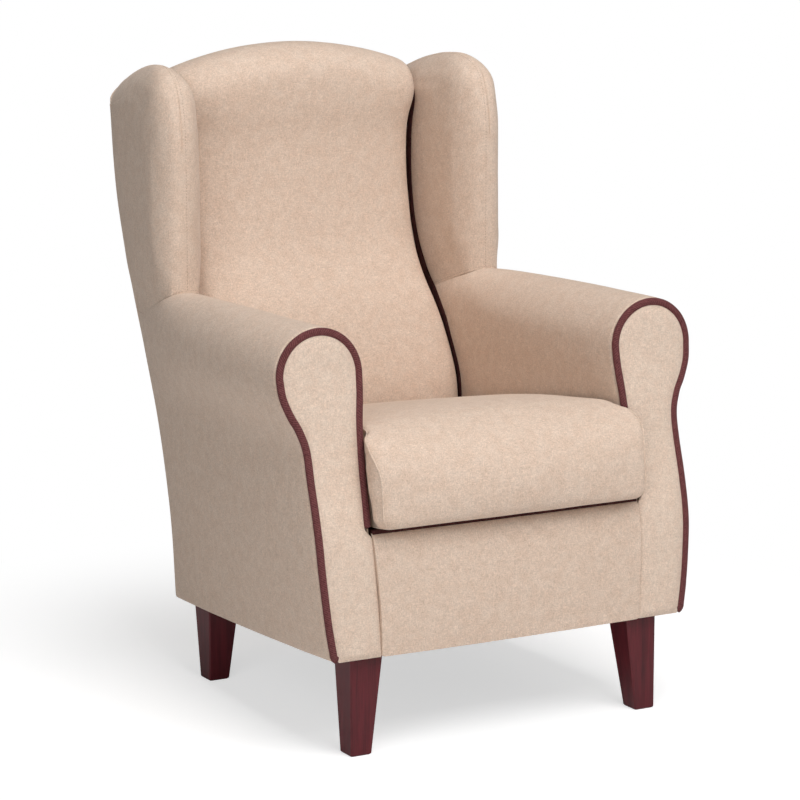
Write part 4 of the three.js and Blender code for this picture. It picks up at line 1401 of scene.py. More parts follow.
    def piping_path(self) -> list[Vector]:
        """The piping's middle line, from the deck over the scroll to the lower edge.

        Returns:
            Points in metres.
        """
        form = self.form
        inset = self.piping_half + form.gap
        reach = form.roll_radius - inset
        centre = form.arm_centre(0)
        low = form.deck_height + self.piping_lift
        foot = form.underside_front + inset * self.piping_foot_share + self.curl
        steps = self.piping_steps
        spots = []
        for i in range(steps):
            height = lerp(low, centre, i / steps)
            spots.append((self.outline(height, inset)[0], height))
        for i in range(steps + 1):
            angle = math.pi * (1 - i / steps)
            spots.append((form.roll_x + reach * math.cos(angle), centre + reach * math.sin(angle)))
        for i in range(1, steps * 2 + 1):
            height = lerp(centre, foot, i / steps / 2)
            spots.append((self.outline(height, inset)[1], height))
        outer = self.outline(foot, inset)[1]
        for i in range(1, self.curl_steps + 1):
            turn = self.curl_turn * i / self.curl_steps
            spots.append((outer - self.curl * (1 - math.cos(turn)), foot - self.curl * math.sin(turn)))
        sunk = form.facing_thickness - self.piping_radius
        return [form.put(x, form.front_face(height) + sunk, height) for x, height in spots]

    def piping(self) -> Object:
        """The right arm's piping, a cord wrapped in cloth."""
        path = self.piping_path()
        count = len(path) - 1
        deep = self.piping_radius * MM
        wide = self.piping_half * MM

        def around(u: float, v: float) -> Vector:
            """A point of the cord's surface."""
            spot = v * count
            i = min(int(spot), count - 1)
            centre = path[i].lerp(path[i + 1], spot - i)
            along = (path[min(i + 1, count)] - path[max(i - 1, 0)]).normalized()
            side = along.cross(Vector((0, 1, 0))).normalized()
            front = side.cross(along)
            angle = u * math.tau
            ends = min(v, 1 - v) * count / self.tip_steps
            swell = math.sqrt(clamp(1 - (1 - min(ends, 1)) ** 2, self.tip_least))
            wobble = 1 + self.wobble * noise.noise(centre * self.wobble_scale)
            ring = side * (math.cos(angle) * wide) + front * (math.sin(angle) * deep)
            return centre + ring * swell * wobble

        return shown(laid_tube(self.piping_sides, self.piping_rings, around), "right_arm_piping_cord")

    def build(self) -> None:
        """Makes both arms."""
        finishes = self.shop.finishes
        waves = self.facing_waves
        pieces = (
            (self.pad(), "arm_pad", finishes.velour, "cover", 0.8, None),
            (self.facing(), "arm_facing", finishes.facing, "facing_cover", 0.8, waves),
            (self.piping(), "arm_piping", finishes.piping, "piping_cover", None, waves),
        )
        for right, node, material, slot, fill, depth in pieces:
            for side, piece in both_sides(right):
                nodes = [f"{side.label}_{node}"]
                self.shop.finish(piece, nodes, material, slot, fill=fill, waves=depth)


class Face(Worded):
    """The two pads of a wing, with the way in which each looks."""

    OUTER = 1
    INNER = -1


@dataclass
class Wings:
    """The two wings, each an inner and an outer pad that meet at a top-stitched seam."""

    form: ChairForm
    shop: Upholsterer
    lead: float = 41
    drop: float = 22
    curve_height: float = 125
    straight: float = 60
    lead_in: float = 40
    edge_steps: int = 12
    look_back: int = 4
    look_ahead: int = 3
    rear_levels: Pair = (900, 960)
    rear_turn_step: Step = (0.8, 0.2)
    seam_out: float = 40
    front_shift: float = 6
    rear_inset: float = 10
    round_front: float = 43
    round_rear: float = 31
    round_share: float = 0.34
    inner_foot: Pair = (614, 0.36)
    outer_foot: Pair = (595, 0.5)
    foot_depth: float = 670
    foot_least: float = 590
    foot_most: float = 652
    foot_blend: float = 90
    foot_gap: float = 0.8
    outer_lap: float = 1
    inner_lap: float = 0.5
    nominal_foot: float = 600
    settle: float = 200
    outer_slump: float = 0.25
    inner_slump: float = 0.6
    slump_step: Step = (0.55, 0.3)
    seam_sink: float = 1.3
    seam_share: float = 0.012
    sink_fade: float = 0.75
    sink_fade_step: Step = (0.5, 0.2)
    top_trim: float = 2.5
    top_trim_step: Step = (0.6, 0.3)
    rear_trim: float = 4
    rear_trim_step: Step = (0.7, 0.2)
    pad_sheet: Sheet = Sheet(
        46, 84, (280, 250, 800), rim=0.7, weights=(0.8, 1, 1, 1.2), free_share=0.07
    )
    crowding: float = 1.35
    board_thickness: float = 18
    board_gap: float = 0.6
    seam_gap: float = 0.2
    hollow_step: Step = (24, 8)
    rear_wall_step: Step = (-22, 10)
    closed_step: Step = (880, 20)
    least_wall: float = 5
    edge_wall: float = 12
    stitched_shares: Pair = (0.01, 0.97)
    stitched_top: float = 0.985
    stitching: Stitching = Stitching()
    stuffing: Stuffing = Stuffing(pressure=2.0, most=4.0)

    def __post_init__(self) -> None:
        """Works out the edge of the wing in the side view."""
        form = self.form
        self.front = form.body_depth - self.lead
        self.seam_x = form.seat_half + self.seam_out
        self.inner_rear = form.seat_half - self.rear_inset
        start = form.back_height - self.drop - self.curve_height
        depth = form.rear_face(form.shoulder) - self.front
        knots = [
            Vector((self.front + along * depth, start + up * self.curve_height))
            for along, up in WING_EDGE_SHARES
        ]
        points = [Vector((self.front, self.nominal_foot)), Vector((self.front, start - self.straight))]
        for i in range(len(knots) - 1):
            before = knots[i - 1] if i else knots[0] - Vector((0, self.lead_in))
            after = knots[min(i + 2, len(knots) - 1)]
            for k in range(self.edge_steps):
                points.append(self._between(before, knots[i], knots[i + 1], after, k / self.edge_steps))
        self.edge_points = []
        for point in points:
            if point.x > self.rear(point.y):
                break
            self.edge_points.append(point)
        self.edge_lengths = [0.0]
        for a, b in zip(self.edge_points, self.edge_points[1:]):
            self.edge_lengths.append(self.edge_lengths[-1] + (b - a).length)

    @staticmethod
    def _between(a: Vector, b: Vector, c: Vector, d: Vector, t: float) -> Vector:
        """A point of the smooth curve from b to c, with a before and d after."""
        return 0.5 * (
            2 * b + (c - a) * t + (2 * a - 5 * b + 4 * c - d) * t ** 2 + (3 * b - a - 3 * c + d) * t ** 3
        )

    def rear(self, height: float) -> float:
        """Depth of the wing's rear edge."""
        return self.form.panel_front(height) - self.form.gap

    def edge(self, s: float) -> tuple[Vector, Vector]:
        """A place on the wing's edge.

        Args:
            s: from the foot to the rear of the top.

        Returns:
            The point of the side view, and the direction that leads in from it.
        """
        lengths = self.edge_lengths
        length = s * lengths[-1]
        last = len(lengths) - 1
        i = next((k for k in range(1, last + 1) if lengths[k] >= length), last)
        a, b = self.edge_points[i - 1], self.edge_points[i]
        point = a.lerp(b, clamp((length - lengths[i - 1]) / (lengths[i] - lengths[i - 1])))
        near = self.edge_points[max(i - self.look_back, 0)]
        far = self.edge_points[min(i + self.look_ahead, last)]
        along = (far - near).normalized()
        inward = Vector((along.y, -along.x))
        low, high = self.rear_levels
        down = Vector((self.rear(low) - self.rear(high), low - high)).normalized()
        return point, inward.lerp(down, rising(s, self.rear_turn_step)).normalized()

    def share(self, depth: float, height: float) -> float:
        """How far a point is from the wing's front edge towards its rear."""
        return clamp((depth - self.front) / (self.form.rear_face(height) - self.front))

    def middle(self, share: float) -> float:
        """X of the wing's middle."""
        return lerp(self.seam_x + self.front_shift, self.inner_rear + self.round_rear, share)

    def half(self, share: float, face: Face) -> float:
        """Thickness of one pad of the wing."""
        front = self.round_front + (self.front_shift if face is Face.INNER else 0)
        return lerp(front, self.round_rear, share)

    def surface(self, s: float, t: float, face: Face) -> Point:
        """A point of the wing, before it is put in the frame.

        Args:
            s: along the edge, from the foot to the rear of the top.
            t: from the seam, round the edge and back to the rear.
            face: the pad.

        Returns:
            X, depth and height.
        """
        form = self.form
        point, inward = self.edge(s)
        turn = min(t / self.round_share, 1) * math.pi / 2
        bulge = math.sin(turn)
        slump = self.outer_slump if face is Face.OUTER else self.inner_slump
        drawn = lerp(1 - math.cos(turn), bulge, slump * rising(s, self.slump_step))
        sunk = self.seam_sink * (1 - smooth(t / self.seam_share))
        sunk *= 1 - self.sink_fade * rising(s, self.sink_fade_step)
        spot = point + inward * (self.round_front * drawn + sunk)
        spot.y -= self.top_trim * rising(s, self.top_trim_step)
        spot.y -= self.rear_trim * rising(s, self.rear_trim_step)
        if t > self.round_share:
            top, direction = self.edge(1)
            high = (top + direction * self.round_front).y
            height = lerp(self.nominal_foot, high, s)
            rear = Vector((self.rear(height), height))
            spot = spot.lerp(rear, (t - self.round_share) / (1 - self.round_share))
        depth, height = spot
        share = self.share(depth, height)
        x = self.middle(share) + face.value * self.half(share, face) * bulge
        start, slope = self.outer_foot if face is Face.OUTER else self.inner_foot
        line = clamp(start + slope * (self.foot_depth - depth), self.foot_least, self.foot_most)
        inner, outer = form.arm_width(form.arm_share(depth), line)
        met = min(x, outer - self.outer_lap) if face is Face.OUTER else max(x, inner - self.inner_lap)
        x = lerp(met, x, smooth((height - self.nominal_foot) / self.foot_blend))
        foot = max(form.arm_surface(met, depth) + self.foot_gap, line)
        fade = clamp((self.nominal_foot + self.settle - height) / self.settle)
        return x, depth, height + (foot - self.nominal_foot) * fade

    def margin(self, depth: float, height: float) -> float:
        """Rough distance of a point of the side view from the wing's front or top edge."""
        spot = Vector((depth, height))
        return min((spot - point).length for point in self.edge_points[::2])

    def behind(self, spot: Vector, face: Face) -> Vector:
        """The back layer of a pad: on the middle plane near the edges, hollow over the board.

        Args:
            spot: a point of the front layer, in metres.
            face: the pad.

        Returns:
            The point of the back layer, in metres.
        """
        depth = spot.y / MM + self.form.shift
        height = spot.z / MM
        away = self.margin(depth, height)
        target = self.middle(self.share(depth, height)) + self.seam_gap * face.value
        if away >= self.edge_wall:
            clear = self.seam_x + self.board_gap
            if face is Face.INNER:
                clear = self.seam_x - self.board_thickness - self.board_gap
            inside = rising(away, self.hollow_step)
            at_rear = rising(depth - self.rear(height), self.rear_wall_step)
            inside *= 1 - at_rear * rising(height, self.closed_step)
            target = lerp(target, clear, inside)
            limit = spot.x / MM - face.value * self.least_wall
            target = min(target, limit) if face is Face.OUTER else max(target, limit)
        return Vector((target * MM, spot.y, spot.z))

    def pad(self, face: Face) -> Object:
        """Makes one pad of the right wing."""
        return self.stuffing.pad(
            self.pad_sheet, lambda u, v: self.form.put(*self.surface(v, u ** self.crowding, face)),
            f"right_wing_{face.label}_cover", lambda spot, normal: self.behind(spot, face),
        )

    def stitched_lines(self, face: Face) -> list[Line]:
        """The lines that are stitched on one pad of the right wing.

        Args:
            face: the pad.

        Returns:
            For each line, a function from its share to X, depth and height.
        """
        offset = self.stitching.offset
        foot = offset / self.edge_lengths[-1]
        lines = [lambda share: self.surface(foot, lerp(*self.stitched_shares, share), face)]
        if face is Face.INNER:
            lead = offset / (self.round_front * math.pi / 2) * self.round_share
            lines.append(lambda share: self.surface(lerp(foot, self.stitched_top, share), lead, face))
        return lines

    def build(self) -> None:
        """Makes both wings."""
        for face in Face:
            for side, piece in both_sides(self.pad(face)):
                name = f"{side.label}_wing_{face.label}"
                cover = self.shop.finish(piece, [f"{name}_pad"], fill=0.75)
                stitches = self.stitching.sew(
                    f"{name}_stitches", self.form, side, cover, self.stitched_lines(face)
                )
                # The thread's darkened colour is partly painted shade, for the dent along the stitched
                # line.
                self.shop.declare(stitches, self.shop.finishes.thread, "cover")


@dataclass
class Back:
    """The back pad, the outside back, dark strips of deck cloth as painted shade in the crevices, and the
    webbing between the posts.
    """

    form: ChairForm
    shop: Upholsterer
    half_at_seat: float = 242
    waist: float = 24
    arch_half: float = 242
    arch_drop: float = 3.5
    flange_half: float = 239
    flange_step: Step = (0.45, 0.5)
    edge_round: float = 28
    top_edge_round: float = 14
    top_edge_step: Step = (0.875, 0.125)
    crown: float = 13
    top_round_front: float = 60
    top_round_rear: float = 92
    front_part: float = 0.2
    face_foot: float = 541
    face_lean: float = 158
    face_low: float = 295
    face_high: float = 880
    deck_gap: float = 1
    strap_gap: float = 1
    over_rail_step: Step = (2, 16)
    cuts: int = 50
    free_front_step: Step = (-0.2, 0.6)
    free_foot_step: Step = (-1, 0.2)
    free_top_step: Step = (-1.04, 0.2)
    panel_crown: float = 8
    panel_crown_edge: float = 0.02
    panel_drop: float = 50
    panel_inset: float = 1.5
    panel_sink: float = 1
    panel_lift: float = 8
    panel_lift_step: Step = (150, 60)
    panel_lean: float = 5
    panel_lean_step: Step = (0.965, 0.035)
    panel_lean_end_step: Step = (55, 15)
    panel_peak: float = 25
    panel_peak_power: float = 0.6
    panel_corner_drop: float = 2
    panel_sheet: Sheet = Sheet(60, 88, (0, -50, 500), (0, -4, 0), 2)
    # The dark strips of deck cloth laid in the crevices beside the back pad as painted shade.
    tail_depth: float = 60
    tail_foot: float = 4
    tail_top: float = 972
    tail_gap: float = 1
    tail_swell: float = 3
    tail_ahead: float = 14
    tail_reach: float = 3.6
    tail_levels: tuple[float, ...] = (-12, -6, 0, 6, 12)
    tail_sheet: Sheet = Sheet(8, 90, (1000, 250, 700), (0.5, 0, 0))
    look_from: float = 150
    look_length: float = 120
    look_tangent: float = 0.56
    look_sine: float = 0.49
    strap_count: int = 4
    strap_share: float = 0.5
    strap_margin: float = 1
    strap_sheet: Sheet = Sheet(48, 6, (0, 1550, 500), (0, 1.2, 0))
    stuffing: Stuffing = Stuffing(pressure=3.0, most=6.0)

    def __post_init__(self) -> None:
        """Works out the curves of the face."""
        rise = self.face_high - self.face_low
        self.face = scaled(BACK_FACE_SHARES, self.face_foot, self.face_lean, self.face_low, rise)
        self.swell = scaled(BACK_CROWN_SHARES, 0, self.crown, self.face_low, rise)
        self.half = scaled(BACK_WAIST_SHARES, self.half_at_seat, -self.waist, self.face_low, rise)
        self.rail_peak = self.form.back_height - self.form.arch_rise - self.top_round_front

    def arch(self, x: float) -> float:
        """Height of the arched top."""
        rise = self.form.arch_rise + self.arch_drop
        return self.form.back_height - rise * (x / self.arch_half) ** 2

    def rear_limit(self, height: float) -> float:
        """Depth of the pad's rear: against the webbing, and over the top rail to the panel."""
        form = self.form
        over = rising(height - self.rail_peak, self.over_rail_step)
        return lerp(form.strap_front(height) - self.strap_gap, form.panel_front(height) - form.gap, over)

    def surface(self, a: float, b: float, c: float) -> Vector:
        """A point of the pad from box coordinates.

        Args:
            a: across, -1 to 1.
            b: front to rear.
            c: bottom to top.

        Returns:
            The point, in metres.
        """
        form = self.form
        bottom = form.deck_top(self.face_foot) + self.deck_gap
        rough_top = self.arch(a * self.arch_half)
        from_top = (1 - c) / 2 * (rough_top - bottom)
        height = rough_top - from_top
        front = self.face(height)
        thick = self.rear_limit(height) - front
        from_front = (b + 1) / 2 * thick
        from_rear = thick - from_front
        deep, rear = self.top_round_front, self.top_round_rear
        if from_top < deep and from_front < deep and b < self.front_part:
            from_front, from_top = rounded_corner(from_front, from_top, deep, deep)
        elif from_top < rear and from_rear < rear:
            from_rear, from_top = rounded_corner(from_rear, from_top, rear, deep)
            from_front = thick - from_rear
        half = self.half(height)
        half = lerp(half, max(half, self.flange_half), rising(b, self.flange_step))
        x = a * half
        beyond = clamp((abs(x) - (half - self.edge_round)) / self.edge_round)
        inset = 1 - math.sqrt(max(1 - beyond * beyond, 0))
        share = (1 - b) / 2
        depth = front + from_front + inset * self.edge_round * share
        depth -= self.swell(height) * math.cos(a * math.pi / 2) * share
        drop = inset * self.top_edge_round * rising((c + 1) / 2, self.top_edge_step)
        return form.put(x, depth, rough_top - from_top - drop)

    def pad(self) -> None:
        """The padded front of the back."""
        mesh = laid_box(self.cuts, self.surface)
        held = []
        for _, b, c in box_places(mesh):
            free = rising(-b, self.free_front_step) * rising(c, self.free_foot_step)
            held.append(1 - free * rising(-c, self.free_top_step))
        piece = shown(mesh, "back_cover")
        self.stuffing.fill(piece, held)
        self.shop.finish(piece, ["back_pad"], fill=0.75)

    def panel_top(self, x: float) -> float:
        """Upper edge of the outside back, with a point at each corner that closes the wing.

        Args:
            x: distance from the middle plane.

        Returns:
            The height.
        """
        form = self.form
        away = abs(x)
        low = min(away, self.arch_half)
        height = self.arch(low) - self.panel_drop + self.panel_lift * rising(low, self.panel_lift_step)
        if away <= self.arch_half:
            return height
        share = (away - self.arch_half) / (form.rear_half - self.arch_half)
        peak = self.panel_peak * max(1 - abs(2 * share - 1), 0) ** self.panel_peak_power
        return lerp(height, form.shoulder - self.panel_corner_drop, share) + peak

    def panel_surface(self, u: float, v: float) -> Vector:
        """The rear of the outside back.

        Args:
            u: from left to right.
            v: from the foot to the top.

        Returns:
            The point, in metres.
        """
        form = self.form
        x = (u * 2 - 1) * (form.rear_half - self.panel_inset)
        height = lerp(form.underside_rear, self.panel_top(x), v)
        crown = self.panel_crown * math.cos(x / form.rear_half * math.pi / 2)
        edge = self.panel_crown_edge
        crown *= math.sqrt(math.sin(math.pi * clamp(v, edge, 1 - edge)))
        lean = self.panel_lean * rising(v, self.panel_lean_step)
        lean *= rising(form.rear_half - abs(x), self.panel_lean_end_step)
        return form.put(x, form.rear_face(height) + crown - self.panel_sink - lean, height)

    def panel(self) -> None:
        """The outside back, a panel of cloth over card."""
        piece = self.panel_sheet.slab(self.panel_surface, "outside_back_cover")
        self.shop.finish(piece, ["outside_back"], fill=0.4)

    def beside(self, covers: Sequence[Object], depth: float, height: float) -> float:
        """X just inside the arm's or the wing's cover beside the pad.

        Args:
            covers: the covers beside the pad on the right.
            depth: depth of the place.
            height: its height.

        Returns:
            The mean over a few levels, so that the painted-shade strip lies smoothly.
        """
        across = Vector((1, 0, 0))
        found = []
        for level in self.tail_levels:
            start = self.form.put(self.look_from, depth, height + level)
            for cover in covers:
                struck, place, _, _ = cover.ray_cast(start, across, distance=self.look_length * MM)
                if struck:
                    found.append(place.x / MM)
                    break
        return sum(found) / len(found) - self.tail_gap if found else self.flange_half

    def tails(self) -> None:
        """Dark strips of deck cloth in the crevices beside the pad: painted shade, put where the real
        crevices are only in shadow.

        Its front edge lies so that the photograph's view sees the wanted width of it.
        """
        form = self.form
        names = ("right_wing_inner_cover", "right_arm_cover")
        covers = [worn(bpy.data.objects[name]) for name in names]
        wide = smooth_through(SHADE_STRIP_WIDTHS)
        low = form.deck_top(self.face_foot) + self.tail_foot
        swell = self.tail_swell

        def place(u: float, v: float) -> Vector:
            """A point of the painted-shade strip, from front to rear and from foot to top."""
            height = lerp(low, self.tail_top, v)
            near = self.face(height) + self.edge_round
            open_width = self.beside(covers, near, height) - self.half(height) - swell
            front = near - self.tail_ahead - wide(height) / self.look_sine
            front += max(open_width + self.tail_reach, 0) / self.look_tangent
            depth = front + u * self.tail_depth
            return form.put(self.beside(covers, depth, height), depth, height)

        # Dark deck cloth laid in both crevices as painted shade, where the real chair shows only shadow.
        for _, piece in both_sides(self.tail_sheet.slab(place, "right_back_tail")):
            self.shop.finish(piece, ["back_pad"], self.shop.finishes.deck, fill=None)

    def strap(self, index: int) -> None:
        """One elastic webbing across the posts."""
        form = self.form
        node = f"back_strap_{index}"
        low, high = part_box(node)

        def place(u: float, v: float) -> Vector:
            """A point of the webbing, from left to right and up."""
            height = lerp(low.z, high.z, v) / MM
            depth = form.strap_front(height) + form.strap_thickness * self.strap_share
            return form.put(lerp(low.x, high.x, u) / MM, depth, height)

        piece = self.strap_sheet.slab(place, f"back_webbing_{index}")
        self.shop.declare(piece, self.shop.finishes.webbing, "webbing", [node])

    def build(self) -> None:
        """Makes the back."""
        self.pad()
        self.tails()
        self.panel()
        for index in range(1, self.strap_count + 1):
            self.strap(index)


@dataclass
class SeatBody:
    """The front border, the deck and the dust cover."""

    form: ChairForm
    shop: Upholsterer
    border_thickness: float = 12
    border_belly: float = 4
    border_crown: float = 4
    border_crown_fade: float = 0.5
    border_gap: float = 0.15
    border_least: float = 0.3
    border_sheet: Sheet = Sheet(58, 32, (0, -150, 260), rim=0.9)
    turn_share: float = 0.93
    shoulder: float = 7
    lip_drop: float = 6
    lip_radius: float = 4
    lip_gap: float = 0.5
    lip_inset: float = 1.5
    lip_flat: float = 0.35
    lip_sides: int = 16
    lip_rings: int = 60
    deck_inset: float = 0.3
    deck_side_inset: float = 0.2
    deck_arm_gap: float = 0.5
    deck_arm_lift: float = 1
    deck_sink: float = 0.2
    deck_sag: float = 1.5
    deck_sag_share: float = 0.04
    deck_sheet: Sheet = Sheet(40, 44, (0, -150, 0), (0, 0, -25), 2)
    stuffing: Stuffing = Stuffing(pressure=1.5, most=2.0)

    def border_surface(self, u: float, v: float) -> Vector:
        """The padded panel between the arms, rounded into the deck.

        Args:
            u: from left to right.
            v: from the lower edge to the deck.

        Returns:
            The point, in metres.
        """
        form = self.form
        low = form.underside_front
        top = form.deck_height - self.lip_drop - self.shoulder
        turn = max(v - self.turn_share, 0) / (1 - self.turn_share) * math.pi / 2
        height = lerp(low, top, min(v / self.turn_share, 1)) + self.shoulder * math.sin(turn)
        back = self.shoulder * (1 - math.cos(turn))
        half = form.arm_inner(0, min(height, form.deck_height)) - self.border_gap
        share = (height - low) / (form.deck_height - low)
        across = u * 2 - 1
        depth = form.front_face(height) - self.border_belly * math.sin(share * math.pi)
        depth -= self.border_crown * (1 - across * across) * (1 - share * self.border_crown_fade)
        height = min(height, form.deck_top(depth + back))
        return form.put(across * half, depth + back, height)

    def border(self) -> None:
        """The front border."""
        wall = Vector((0, self.border_thickness * MM, 0))
        piece = self.stuffing.pad(
            self.border_sheet, self.border_surface, "front_border_cover",
            lambda spot, normal: spot + wall * max(-normal.y, self.border_least),
        )
        self.shop.finish(piece, ["front_border"])

    def lip_surface(self, u: float, v: float) -> Vector:
        """The dark roll along the border.
            v: from left to right.

        Returns:
            The point, in metres.
        """
        form = self.form
        level = form.deck_height - self.lip_radius - self.lip_gap
        half = form.arm_inner(0, form.deck_height) - self.lip_inset
        across = v * 2 - 1
        angle = u * math.tau
        middle = form.front_face(level) + self.lip_radius
        middle -= self.border_crown * (1 - self.border_crown_fade) * (1 - across ** 2)
        reach = self.lip_radius * (1 - self.lip_flat * (1 + math.cos(angle)) / 2)
        height = level + self.lip_radius * math.sin(angle)
        return form.put(across * half, middle - reach * math.cos(angle), height)

    def lip(self) -> None:
        """A dark roll along the top of the border, which shows as a dark strip under the cushion's front.
        """
        piece = shown(laid_tube(self.lip_sides, self.lip_rings, self.lip_surface), "deck_lip")
        self.shop.finish(piece, ["front_border"], self.shop.finishes.deck, fill=None)

    def deck(self) -> None:
        """The deck under the cushion, in dark decking cloth."""
        form = self.form
        low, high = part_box("deck_pad")
        front = low.y / MM + form.shift + self.deck_inset
        rear = high.y / MM + form.shift - self.deck_inset
        widest = high.x / MM - self.deck_side_inset

        def place(u: float, v: float) -> Vector:
            """A point of the deck, from left to right and from front to rear."""
            across = u * 2 - 1
            depth = lerp(front, rear, v)
            level = form.deck_top(depth)
            beside = form.arm_inner(depth / form.body_depth, level + self.deck_arm_lift)
            half = min(widest, beside - self.deck_arm_gap)
            edge = min(1 - abs(across), v, 1 - v)
            sag = self.deck_sag * (1 - smooth(edge / self.deck_sag_share))
            return form.put(across * half, depth, level - self.deck_sink - sag)

        piece = self.deck_sheet.slab(place, "deck_cover")
        self.shop.finish(piece, ["deck_pad"], self.shop.finishes.deck, "foam", fill=0.5)

    def dust_cover(self) -> None:
        """The black lining under the seat, stretched between the rails."""
        mesh = bmesh.new()
        mesh.from_mesh(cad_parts["dust_cover"].data)
        bmesh.ops.remove_doubles(mesh, verts=mesh.verts[:], dist=MERGE)
        mesh.normal_update()
        area = sum(face.calc_area() for face in mesh.faces if face.normal.z < -0.5)
        piece = shown(mesh, "dust_cover_lining")
        self.shop.declare(piece, self.shop.finishes.lining, "lining", ["dust_cover"])

    def build(self) -> None:
        """Makes the border, the deck and the dust cover."""
        self.border()
        self.lip()
        self.deck()
        self.dust_cover()


@dataclass
class SeatCushion:
    """The loose cushion: one panel over the top and front, and a gusset on each side."""

    form: ChairForm
    shop: Upholsterer
    half: float = 236
    thickness: float = 158
    depth: float = 557
    ahead: float = 31
    lift: float = 0.4
    corners: tuple[tuple[bool, bool, float, float], ...] = (
        (True, True, 95, 85), (True, False, 13, 15), (False, True, 34, 34), (False, False, 22, 22),
    )
    corner_draw: float = 0.5
    corner_least: float = 8
    inset_up: float = 0.8
    crowding: float = 1.25
    edge_width: float = 9
    edge_drop: float = 4
    gusset_dome: float = 3
    gusset_lean: float = 7
    lean_up_step: Step = (0.35, 0.65)
    lean_along_step: Step = (0.025, 0.125)
    waist: float = 4
    ear: float = 13
    ear_length: float = 9
    ear_start: float = 2
    ear_power: int = 3
    ear_rise: float = 9
    front_draw: float = 11.5
    front_draw_length: float = 22
    crown: float = 8
    crown_up_step: Step = (0.5, 0.5)
    crown_rise: float = 6
    thinning: float = 22
    thinning_step: Step = (0.3, 0.7)
    belly: float = 12
    belly_step: Step = (-0.075, 0.25)
    cuts: int = 50
    free_foot_step: Step = (0.7, 0.2)
    welt: float = 1.25
    welt_sides: int = 8
    welt_calm: int = 2
    stuffing: Stuffing = Stuffing(pressure=4.0, most=6.0)

    def profile(self, b: float, c: float, inset: float) -> Pair:
        """A point of the side view, from box coordinates.

        Args:
            b: -1 at the front, 1 at the rear.
            c: -1 at the bottom, 1 at the top.
            inset: how far the outline is drawn in.

        Returns:
            Distance from the front edge and height above the deck.
        """
        wide = self.depth - 2 * inset
        tall = self.thickness - 2 * inset * self.inset_up
        y = (b + 1) / 2 * wide
        z = (c + 1) / 2 * tall
        for front, top, length, height in self.corners:
            length = max(length - inset * self.corner_draw, self.corner_least)
            height = max(height - inset * self.corner_draw, self.corner_least)
            from_end = y if front else wide - y
            from_face = tall - z if top else z
            from_end, from_face = rounded_corner(from_end, from_face, length, height)
            y = from_end if front else wide - from_end
            z = tall - from_face if top else from_face
        return y + inset, z + inset * self.inset_up

    def crowded(self, value: float) -> float:
        """A coordinate between -1 and 1 with its steps crowded towards the ends."""
        low = ((1 + value) / 2) ** self.crowding
        high = ((1 - value) / 2) ** self.crowding
        return (low - high) / (low + high)

    def surface(self, a: float, b: float, c: float) -> Vector:
        """A point of the cushion, from box coordinates.

        Args:
            a: across, -1 to 1.
            b: front to rear.
            c: bottom to top.

        Returns:
            The point, in metres.
        """
        form = self.form
        b = self.crowded(b)
        spread = (1 - (1 - abs(a)) ** self.crowding) * self.half
        beyond = clamp((spread - (self.half - self.edge_width)) / self.edge_width)
        inset = self.edge_drop * (1 - math.sqrt(max(1 - beyond * beyond, 0)))
        y, z = self.profile(b, c, inset)
        along = y / self.depth
        up = z / self.thickness
        across = math.copysign(spread / self.half, a)
        x = math.copysign(spread, a)
        if abs(a) > AT_EDGE:
            x += math.copysign(self.gusset_dome * (1 - b * b) * (1 - c * c), a)
        lean = self.gusset_lean * rising(up, self.lean_up_step) * rising(along, self.lean_along_step)
        x -= across * (lean + self.waist * math.sin(along * math.pi))
        panel = form.front_face(form.deck_height + z) - z * math.sin(form.deck_slope) + self.ahead
        ear = smooth((panel - self.ear_start - y) / self.ear_length) * smooth(up * self.ear_rise)
        x += self.ear * across ** self.ear_power * ear
        x -= self.front_draw * across * (1 - clamp(y / self.front_draw_length)) ** 2
        middle = 1 - across * across
        z += self.crown * middle * rising(up, self.crown_up_step) * smooth(along * self.crown_rise)
        z *= 1 - self.thinning / self.thickness * rising(along, self.thinning_step)
        y -= self.belly * middle * max(1 - along * 2, 0) * rising(up, self.belly_step)
        y -= self.ahead
        z += self.lift
        sine, cosine = math.sin(form.deck_slope), math.cos(form.deck_slope)
        return form.put(x, y * cosine + z * sine, form.deck_height - y * sine + z * cosine)

    @staticmethod
    def on_seam(spot: Vector) -> bool:
        """Whether box coordinates lie on the seam between the main panel and a gusset."""
        return abs(spot.x) > AT_EDGE and max(abs(spot.y), abs(spot.z)) > AT_EDGE

    def build(self) -> None:
        """Makes the cushion."""
        mesh = laid_box(self.cuts, self.surface)
        places = box_places(mesh)
        held = [
            1.0 if self.on_seam(spot) else rising(-spot.z, self.free_foot_step) for spot in places
        ]
        piece = shown(mesh, "seat_cushion")
        self.stuffing.fill(piece, held)
        seams = {side: [] for side in Side}
        for vert, spot in zip(piece.data.vertices, places):
            if self.on_seam(spot):
                side = Side.RIGHT if spot.x > 0 else Side.LEFT
                seams[side].append((math.atan2(spot.z, spot.y), vert.co.copy()))
        nodes = ["seat_cushion_cover", "seat_cushion_core"]
        self.shop.finish(piece, nodes, body=Body.CUSHION, fill=0.8)
        for side, ring in seams.items():
            self.seam_welt(side, [place for _, place in sorted(ring, key=lambda item: item[0])])

    def seam_welt(self, side: Side, path: list[Vector]) -> None:
        """The turned edge along a seam between the main panel and a gusset.

        Args:
            side: the side that the seam is on.
            path: points of the seam, in order round the gusset.
        """
        count = len(path)
        for _ in range(self.welt_calm):
            path = [
                path[i] * 0.5 + (path[i - 1] + path[(i + 1) % count]) * 0.25 for i in range(count)
            ]
        radius = self.welt * MM
        out = Vector((side.value, 0, 0))

